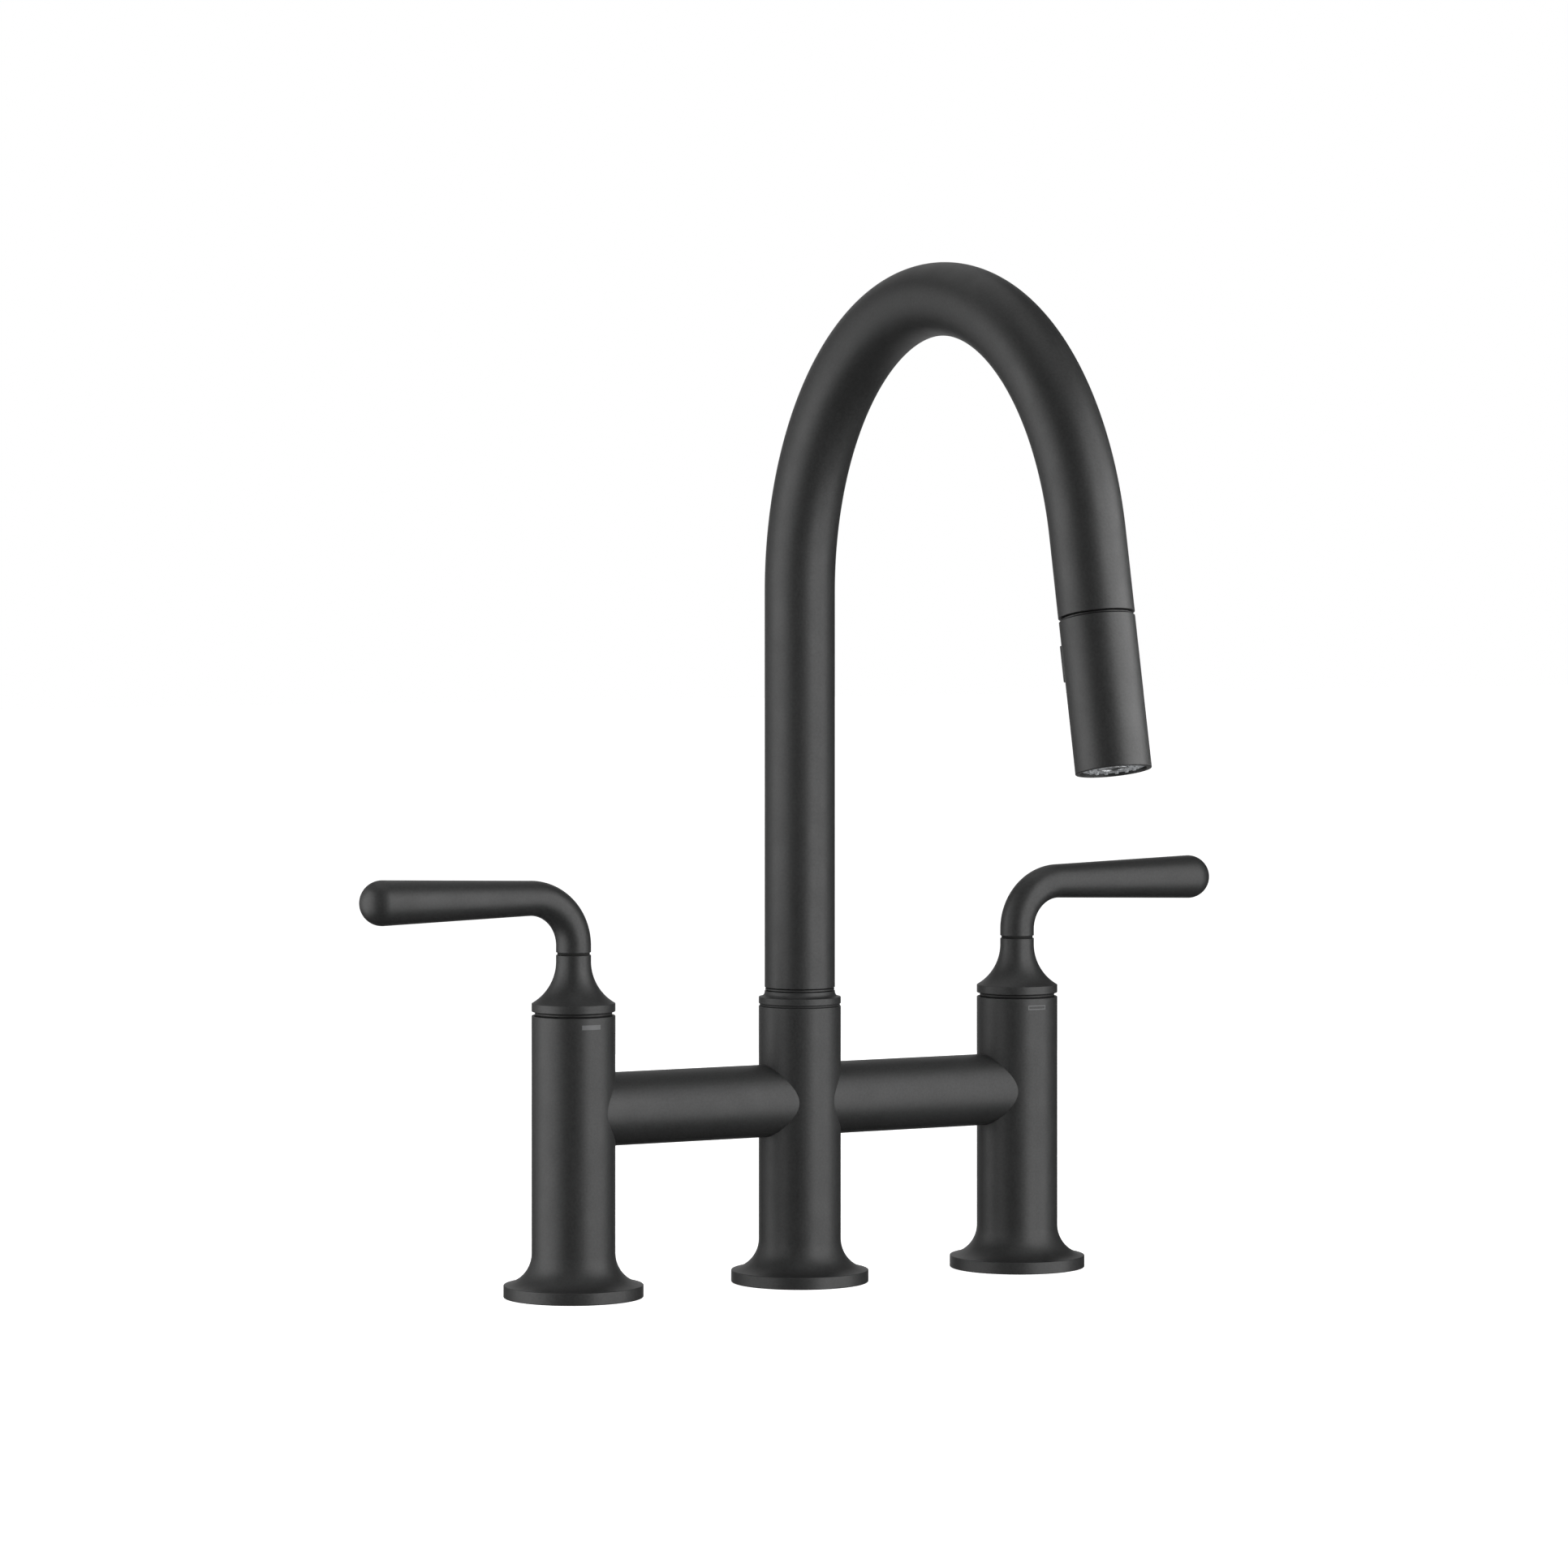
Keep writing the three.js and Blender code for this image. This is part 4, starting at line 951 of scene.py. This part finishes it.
# %% [markdown]
# ## Collar
# The collar hides the joint where the spout turns in its post. It repeats the language of the
# hubs on a small scale: a crisp rim, a concave sweep, and above it one thin separate ring, whose
# two fine dark gaps read as drawn lines. Behind that ring a narrow upstand of the collar hides the
# brass sleeve, or specks of it would shine in the gaps.

# %% Collar
COLLAR_RIM = 2.75
COLLAR_COVE = 1.95
COLLAR_BORE = 12.2
UPSTAND_RADIUS = 12.9
UPSTAND_GAP = 0.05
collar_low, collar_high = size_of("spout_collar")
COLLAR_RIM_TOP = collar_low.z + COLLAR_RIM
UPSTAND_TOP = spout_low.z - UPSTAND_GAP

collar_outline = [(COLLAR_BORE, collar_low.z, 0), (POST_RADIUS, collar_low.z, 0.3)]
collar_outline += [(POST_RADIUS, COLLAR_RIM_TOP, 0.25)]
collar_outline += flare(SPOUT_RADIUS, POST_RADIUS, COLLAR_RIM_TOP, COLLAR_COVE, 12)[1:]
collar_outline += [(SPOUT_RADIUS, collar_high.z, 0.1), (UPSTAND_RADIUS, collar_high.z, 0)]
collar_outline += [(UPSTAND_RADIUS, UPSTAND_TOP, 0), (COLLAR_BORE, UPSTAND_TOP, 0)]
fit(turn("collar", collar_outline), "matte_black", "spout_collar")

# %% Trim ring and bush
BUSH_BORE = 12.2
BUSH_RADIUS = 14.1
trim_low, trim_high = size_of("spout_trim_ring")
trim_radius = (trim_high.x - trim_low.x) / 2
trim = ring_outline(UPSTAND_RADIUS + UPSTAND_GAP, trim_radius, trim_low.z, trim_high.z, 0.15)
fit(turn("trim_ring", trim), "matte_black", "spout_trim_ring")

bush_low, bush_high = size_of("swivel_bush")
flange_radius = (bush_high.x - bush_low.x) / 2
bush_outline = (
    (BUSH_BORE, bush_low.z, 0),
    (BUSH_RADIUS, bush_low.z, 0),
    (BUSH_RADIUS, POST_TOP + SLIT, 0),
    (flange_radius, POST_TOP + SLIT, 0),
    (flange_radius, collar_low.z - SLIT, 0),
    (BUSH_BORE, collar_low.z - SLIT, 0),
)
fit(turn("bush", bush_outline), "black_plastic", "swivel_bush")

# %% [markdown]
# ## The spray head's own frame
# The head hangs at the end of the bend, 12 degrees from upright. Its pieces are easiest to make
# standing upright at the origin and then moved to their place in one step: this matrix does it.
# Heights are negative distances down the head's axis from the bend's end.

# %% Head frame
HEAD_TILT = math.pi - BEND_ANGLE
BEND_REACH = BEND_RADIUS * (1 - math.cos(BEND_ANGLE))
BEND_END_HEIGHT = BEND_START + BEND_RADIUS * math.sin(BEND_ANGLE)
upright_to_head = Matrix.Rotation(-HEAD_TILT, 4, "X")
head_frame = Matrix.Translation((0, -BEND_REACH, BEND_END_HEIGHT)) @ upright_to_head


def points_in_head(node):
    """The corners of an engineering piece, in millimetres in the head's frame."""
    into_head = head_frame.inverted()
    return [into_head @ (corner.co / MM) for corner in nodes[node].data.vertices]


def measure_in_head(node):
    """Largest distance from the head's axis, lowest and highest point along it."""
    points = points_in_head(node)
    levels = [point.z for point in points]
    return max(point.xy.length for point in points), min(levels), max(levels)


HEAD_RADIUS, SHELL_LOW, SHELL_HIGH = measure_in_head("head_shell")
HEAD_WALL = 1.8
print(f"head radius {HEAD_RADIUS:.2f}, shell {-SHELL_HIGH:.2f} to {-SHELL_LOW:.2f} below the bend")

# %% [markdown]
# ## Head shell
# The shell is a plain cylinder with a window in its back for the button. It is built as a grid
# wrapped round the axis: the columns are laid out so that two of them run along the window's
# edges, its faces are left out, and its four walls are bridged. A bevel rounds every edge alike.

# %% Head shell
WINDOW_GAP = 0.3
BUTTON_WIDTH = 15.8
button_levels = [point.z for point in points_in_head("spray_button") if point.y > HEAD_RADIUS]
BUTTON_LOW, BUTTON_HIGH = min(button_levels), max(button_levels)
WINDOW_HALF = BUTTON_WIDTH / 2 + WINDOW_GAP
WINDOW_COLUMNS = 20
SHELL_COLUMNS = 88


def shell_columns(radius):
    """Angles of the grid's columns. The window lies between the first and column WINDOW_COLUMNS."""
    edge = math.asin(WINDOW_HALF / radius)
    angles = [-edge + 2 * edge * step / WINDOW_COLUMNS for step in range(WINDOW_COLUMNS)]
    rest = 2 * math.pi - 2 * edge
    angles += [edge + rest * step / SHELL_COLUMNS for step in range(SHELL_COLUMNS)]
    return angles


def shell_wall(bm, radius, levels):
    """One skin of the shell: a ring of points at each level."""
    angles = shell_columns(radius)
    return [
        [bm.verts.new((radius * math.sin(a), radius * math.cos(a), level)) for a in angles]
        for level in levels
    ]


def head_shell():
    bm = bmesh.new()
    levels = (SHELL_LOW, BUTTON_LOW - WINDOW_GAP, BUTTON_HIGH + WINDOW_GAP, SHELL_HIGH)
    outer, inner = (shell_wall(bm, radius, levels) for radius in (HEAD_RADIUS, HEAD_RADIUS - HEAD_WALL))

    def add_face(first, second, column, after):
        bm.faces.new((first[column], first[after], second[after], second[column]))

    columns = WINDOW_COLUMNS + SHELL_COLUMNS
    for column in range(columns):
        after = (column + 1) % columns
        in_window = column < WINDOW_COLUMNS
        for row in (0, 2) if in_window else (0, 1, 2):
            add_face(outer[row], outer[row + 1], column, after)
            add_face(inner[row], inner[row + 1], column, after)
        for row in (0, 1, 2, 3) if in_window else (0, 3):
            add_face(outer[row], inner[row], column, after)
    for column in (0, WINDOW_COLUMNS):
        bm.faces.new((outer[1][column], outer[2][column], inner[2][column], inner[1][column]))
    return add_piece("shell", bm, head_frame)


shell = head_shell()
add_bevel(shell, 0.3)
fit(shell, "matte_black", "head_shell")

# %% [markdown]
# ## Spray button
# The button's crowned cap, its lips and its plunger already have their true shape in the
# engineering model. A copy of that mesh is cleaned of its inner lines, and a small bevel gives
# it the soft edges of a moulded key.


# %% Button
def copy_of(node, name):
    bm = bmesh.new()
    bm.from_mesh(nodes[node].data)
    bmesh.ops.remove_doubles(bm, verts=bm.verts, dist=1e-6)
    bmesh.ops.dissolve_limit(bm, angle_limit=math.radians(1), verts=bm.verts, edges=bm.edges)
    mesh = bpy.data.meshes.new(name)
    bm.to_mesh(mesh)
    bm.free()
    mesh.shade_smooth()
    made = bpy.data.objects.new(name, mesh)
    bpy.context.scene.collection.objects.link(made)
    return made


button = copy_of("spray_button", "button_cap")
add_bevel(button, 0.3, angle=40)
fit(button, "matte_black", "spray_button")

# %% [markdown]
# ## Return spring
# A small coil spring pushes the button back out. A ring of points is carried along a helix, and
# the ends are closed.

# %% Return spring
SPRING_COILS = 5
SPRING_STEPS = 24
WIRE_SIDES = 8
WIRE_RADIUS = 0.3
spring_points = points_in_head("button_spring")
spring_low = Vector([min(point[axis] for point in spring_points) for axis in range(3)])
spring_high = Vector([max(point[axis] for point in spring_points) for axis in range(3)])
spring_middle = (spring_low + spring_high) / 2
SPRING_RADIUS = spring_high.x - spring_middle.x
SPRING_START = spring_low.y + WIRE_RADIUS
SPRING_END = spring_high.y - WIRE_RADIUS


def coil_spring():
    bm = bmesh.new()
    rings = []
    total = SPRING_COILS * SPRING_STEPS
    for step in range(total + 1):
        angle = 2 * math.pi * step / SPRING_STEPS
        along = SPRING_START + (SPRING_END - SPRING_START) * step / total
        ring = []
        for side in range(WIRE_SIDES):
            wire_angle = 2 * math.pi * side / WIRE_SIDES
            reach = SPRING_RADIUS - WIRE_RADIUS + WIRE_RADIUS * math.cos(wire_angle)
            x = spring_middle.x + reach * math.cos(angle)
            z = spring_middle.z + reach * math.sin(angle)
            ring.append(bm.verts.new((x, along + WIRE_RADIUS * math.sin(wire_angle), z)))
        rings.append(ring)
    for before, ring in zip(rings, rings[1:]):
        join_rings(bm, before, ring)
    bm.faces.new(rings[0])
    bm.faces.new(rings[-1])
    return add_piece("coil_spring", bm, head_frame)


spring = coil_spring()
paint(spring, "steel")
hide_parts("button_spring")
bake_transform(spring)
print(f"spring {spring_high.y - spring_low.y:.2f} mm long, radius {SPRING_RADIUS:.2f}")

# %% [markdown]
# ## Neck and inner rings of the head
# A neck slides up into the spout's mouth, where a magnet holds its steel ring. Its thin flange
# fills the groove above the shell, and all of it comes out with the head, so it is turned as
# finely as the outside.

# %% Neck and steel ring
NECK_FLANGE = 12.9
NECK_STEM = 11.6
NECK_BORE = 8.2
NECK_INSERT = 11.8
STEEL_RING_BORE = 8.6
FLANGE_HIGH, FLANGE_LOW = -30.85, -31.45
_, neck_low, neck_high = measure_in_head("head_neck")
neck_outline = (
    (NECK_BORE, neck_low, 0),
    (NECK_INSERT, neck_low, 0.2),
    (NECK_INSERT, FLANGE_LOW, 0),
    (NECK_FLANGE, FLANGE_LOW, 0.1),
    (NECK_FLANGE, FLANGE_HIGH, 0.1),
    (NECK_STEM, FLANGE_HIGH, 0),
    (NECK_STEM, neck_high, 0.4),
    (NECK_BORE, neck_high, 0.3),
)
fit(turn("neck", neck_outline, head_frame), "black_plastic", "head_neck")
_, steel_low, steel_high = measure_in_head("head_steel_ring")
steel_outline = ring_outline(STEEL_RING_BORE, NECK_STEM, steel_low, steel_high, 0.2)
fit(turn("steel_ring", steel_outline, head_frame), "steel", "head_steel_ring")

# %% [markdown]
# ## Spray face
# The face is set slightly back in the shell. Soft nozzles stand in a ring round the aerator, which
# gives the plain stream. The plate and the aerator are turned, and one nozzle is repeated round
# the circle by Geometry Nodes.

# %% Spray plate
NOZZLE_HEIGHT = 0.8
PLATE_HOLE = 5.7
plate_radius, nozzle_low, plate_high = measure_in_head("nozzle_plate")
PLATE_FACE = nozzle_low + NOZZLE_HEIGHT
plate_outline = (
    (PLATE_HOLE, plate_high, 0),
    (PLATE_HOLE, PLATE_FACE, 0.3),
    (plate_radius, PLATE_FACE, 0.3),
    (plate_radius, plate_high, 0),
)
fit(turn("spray_plate", plate_outline, head_frame), "grey_plastic", "nozzle_plate")

# %% Nozzles
NOZZLES = 14
NOZZLE_CIRCLE = 8.7
NOZZLE_BASE = 0.95
NOZZLE_TIP = 0.6
NOZZLE_ROOT = 0.4


def nozzle_tree():
    lengths = ("Circle Radius", "Base Radius", "Tip Radius", "Height")
    tree, given = new_tree("nozzle_circle", {"Count": "Int"} | dict.fromkeys(lengths, "Float"))
    sockets = {"Vertices": given["Count"], "Radius": given["Circle Radius"]}
    circle = add_node(tree, "GeometryNodeMeshCircle", sockets)
    sockets = {"Vertices": 20, "Side Segments": 3, "Depth": given["Height"]}
    sockets |= {"Radius Top": given["Tip Radius"], "Radius Bottom": given["Base Radius"]}
    nozzle = add_node(tree, "GeometryNodeMeshCone", sockets)
    sockets = {"Points": circle.outputs[0], "Instance": nozzle.outputs[0]}
    copies = add_node(tree, "GeometryNodeInstanceOnPoints", sockets)
    end_tree(tree, given, copies.outputs[0])
    return tree


downwards = Matrix.Rotation(math.pi, 4, "X")
nozzle_roots = Matrix.Translation((0, 0, PLATE_FACE + NOZZLE_ROOT)) @ downwards
nozzle_sizes = {
    "Count": NOZZLES,
    "Circle Radius": NOZZLE_CIRCLE,
    "Base Radius": NOZZLE_BASE,
    "Tip Radius": NOZZLE_TIP,
    "Height": NOZZLE_HEIGHT + NOZZLE_ROOT,
    "Finish": finishes["grey_plastic"],
}
nozzle_place = Matrix.Scale(MM, 4) @ head_frame @ nozzle_roots
nozzles = grow("nozzles", nozzle_tree(), nozzle_sizes, nozzle_place)
fit(nozzles, "grey_plastic", body="spray_head")

# %% Aerator
OUTLET_RADIUS = 4.2
OUTLET_DEPTH = 0.5
aerator_radius, aerator_low, aerator_high = measure_in_head("aerator")
aerator_outline = (
    (0, aerator_low + OUTLET_DEPTH, 0),
    (OUTLET_RADIUS, aerator_low + OUTLET_DEPTH, 0),
    (OUTLET_RADIUS, aerator_low, 0.15),
    (aerator_radius, aerator_low, 0.2),
    (aerator_radius, aerator_high, 0),
    (0, aerator_high, 0),
)
fit(turn("stream_outlet", aerator_outline, head_frame), "steel", "aerator")

# %% [markdown]
# ## Hose
# The braided hose runs through the whole gooseneck. At rest none of it shows. When the head is
# pulled out, the straight end of the hose has to span the gap. That end is a piece of its own
# with many close rings. The long part behind it only turns with the spout.

# %% Hose
HOSE_RADIUS = 6.2
HOSE_TAIL = 24.05
HOSE_SPLIT = 0.5
hose_sizes = {"low": size_of("spray_hose")[0].z, "radius": HOSE_RADIUS, "tail": HOSE_SPLIT}
hose = gooseneck("hose", "hose_nylon", **hose_sizes, steps=420, sides=32, closed=True)
fit(hose, "hose_nylon", "spray_hose")

# %% Stretching end of the hose
STRETCH_RINGS = 150
hose_end_outline = [(0, -HOSE_TAIL, 0)]
for step in range(STRETCH_RINGS + 1):
    height = -HOSE_TAIL + (HOSE_TAIL - HOSE_SPLIT) * step / STRETCH_RINGS
    hose_end_outline.append((HOSE_RADIUS, height, 0))
hose_end_outline.append((0, -HOSE_SPLIT, 0))
hose_end = turn("hose_end", hose_end_outline, head_frame, 32)
paint(hose_end, "hose_nylon")
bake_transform(hose_end)
print(f"hose end: {len(hose_end.data.polygons)} faces")

# %% [markdown]
# ## Marks on the side posts
# A filled bar on one side post and an outlined one on the other tell hot from cold. They are
# printed, so each is a patch of paint only a few hundredths of a millimetre thick, bent round
# the post just below its top.

# %% Marks
MARK_HEIGHT = 106.2
MARK_HALF_WIDTH = 4.0
MARK_HALF_HEIGHT = 0.9
MARK_LINE = 0.4
MARK_PROUD = 0.03
MARK_SINK = 0.2


def mark_loop(half_width, half_height, steps=16):
    """Corners of a rectangle as (sideways, up) points, with steps points along each side."""
    corners = ((-1, -1), (1, -1), (1, 1), (-1, 1))
    loop = []
    for index, (x, z) in enumerate(corners):
        next_x, next_z = corners[(index + 1) % 4]
        for step in range(steps):
            share = step / steps
            sideways, up = x + (next_x - x) * share, z + (next_z - z) * share
            loop.append((sideways * half_width, up * half_height))
    return loop


def mark_ring(bm, post_x, radius, half_width, half_height):
    """The rectangle's points, wrapped round the post at a radius."""
    ring = []
    for sideways, up in mark_loop(half_width, half_height):
        angle = sideways / POST_RADIUS
        x = post_x + radius * math.sin(angle)
        ring.append(bm.verts.new((x, -radius * math.cos(angle), MARK_HEIGHT + up)))
    return ring


def add_mark(name, post_x, inner_half_width, inner_half_height):
    """A bar with a hole of the given half sizes."""
    bm = bmesh.new()
    outer_sizes = (MARK_HALF_WIDTH, MARK_HALF_HEIGHT)
    inner_sizes = (inner_half_width, inner_half_height)
    proud, sunk = POST_RADIUS + MARK_PROUD, POST_RADIUS - MARK_SINK
    rings = [mark_ring(bm, post_x, proud, *sizes) for sizes in (outer_sizes, inner_sizes)]
    rings += [mark_ring(bm, post_x, sunk, *sizes) for sizes in (inner_sizes, outer_sizes)]
    for index, ring in enumerate(rings):
        join_rings(bm, rings[index - 1], ring)
    piece = add_piece(name, bm)
    piece.data.set_sharp_from_angle(angle=math.radians(40))
    fit(piece, "printed_grey", body="bridge_body", slot="grey_plastic")


CLOSED_HOLE = (MARK_HALF_WIDTH - MARK_HALF_HEIGHT, 0.001)
OPEN_HOLE = (MARK_HALF_WIDTH - MARK_LINE, MARK_HALF_HEIGHT - MARK_LINE)
add_mark("left_mark", -POST_SPACING, *CLOSED_HOLE)
add_mark("right_mark", POST_SPACING, *OPEN_HOLE)
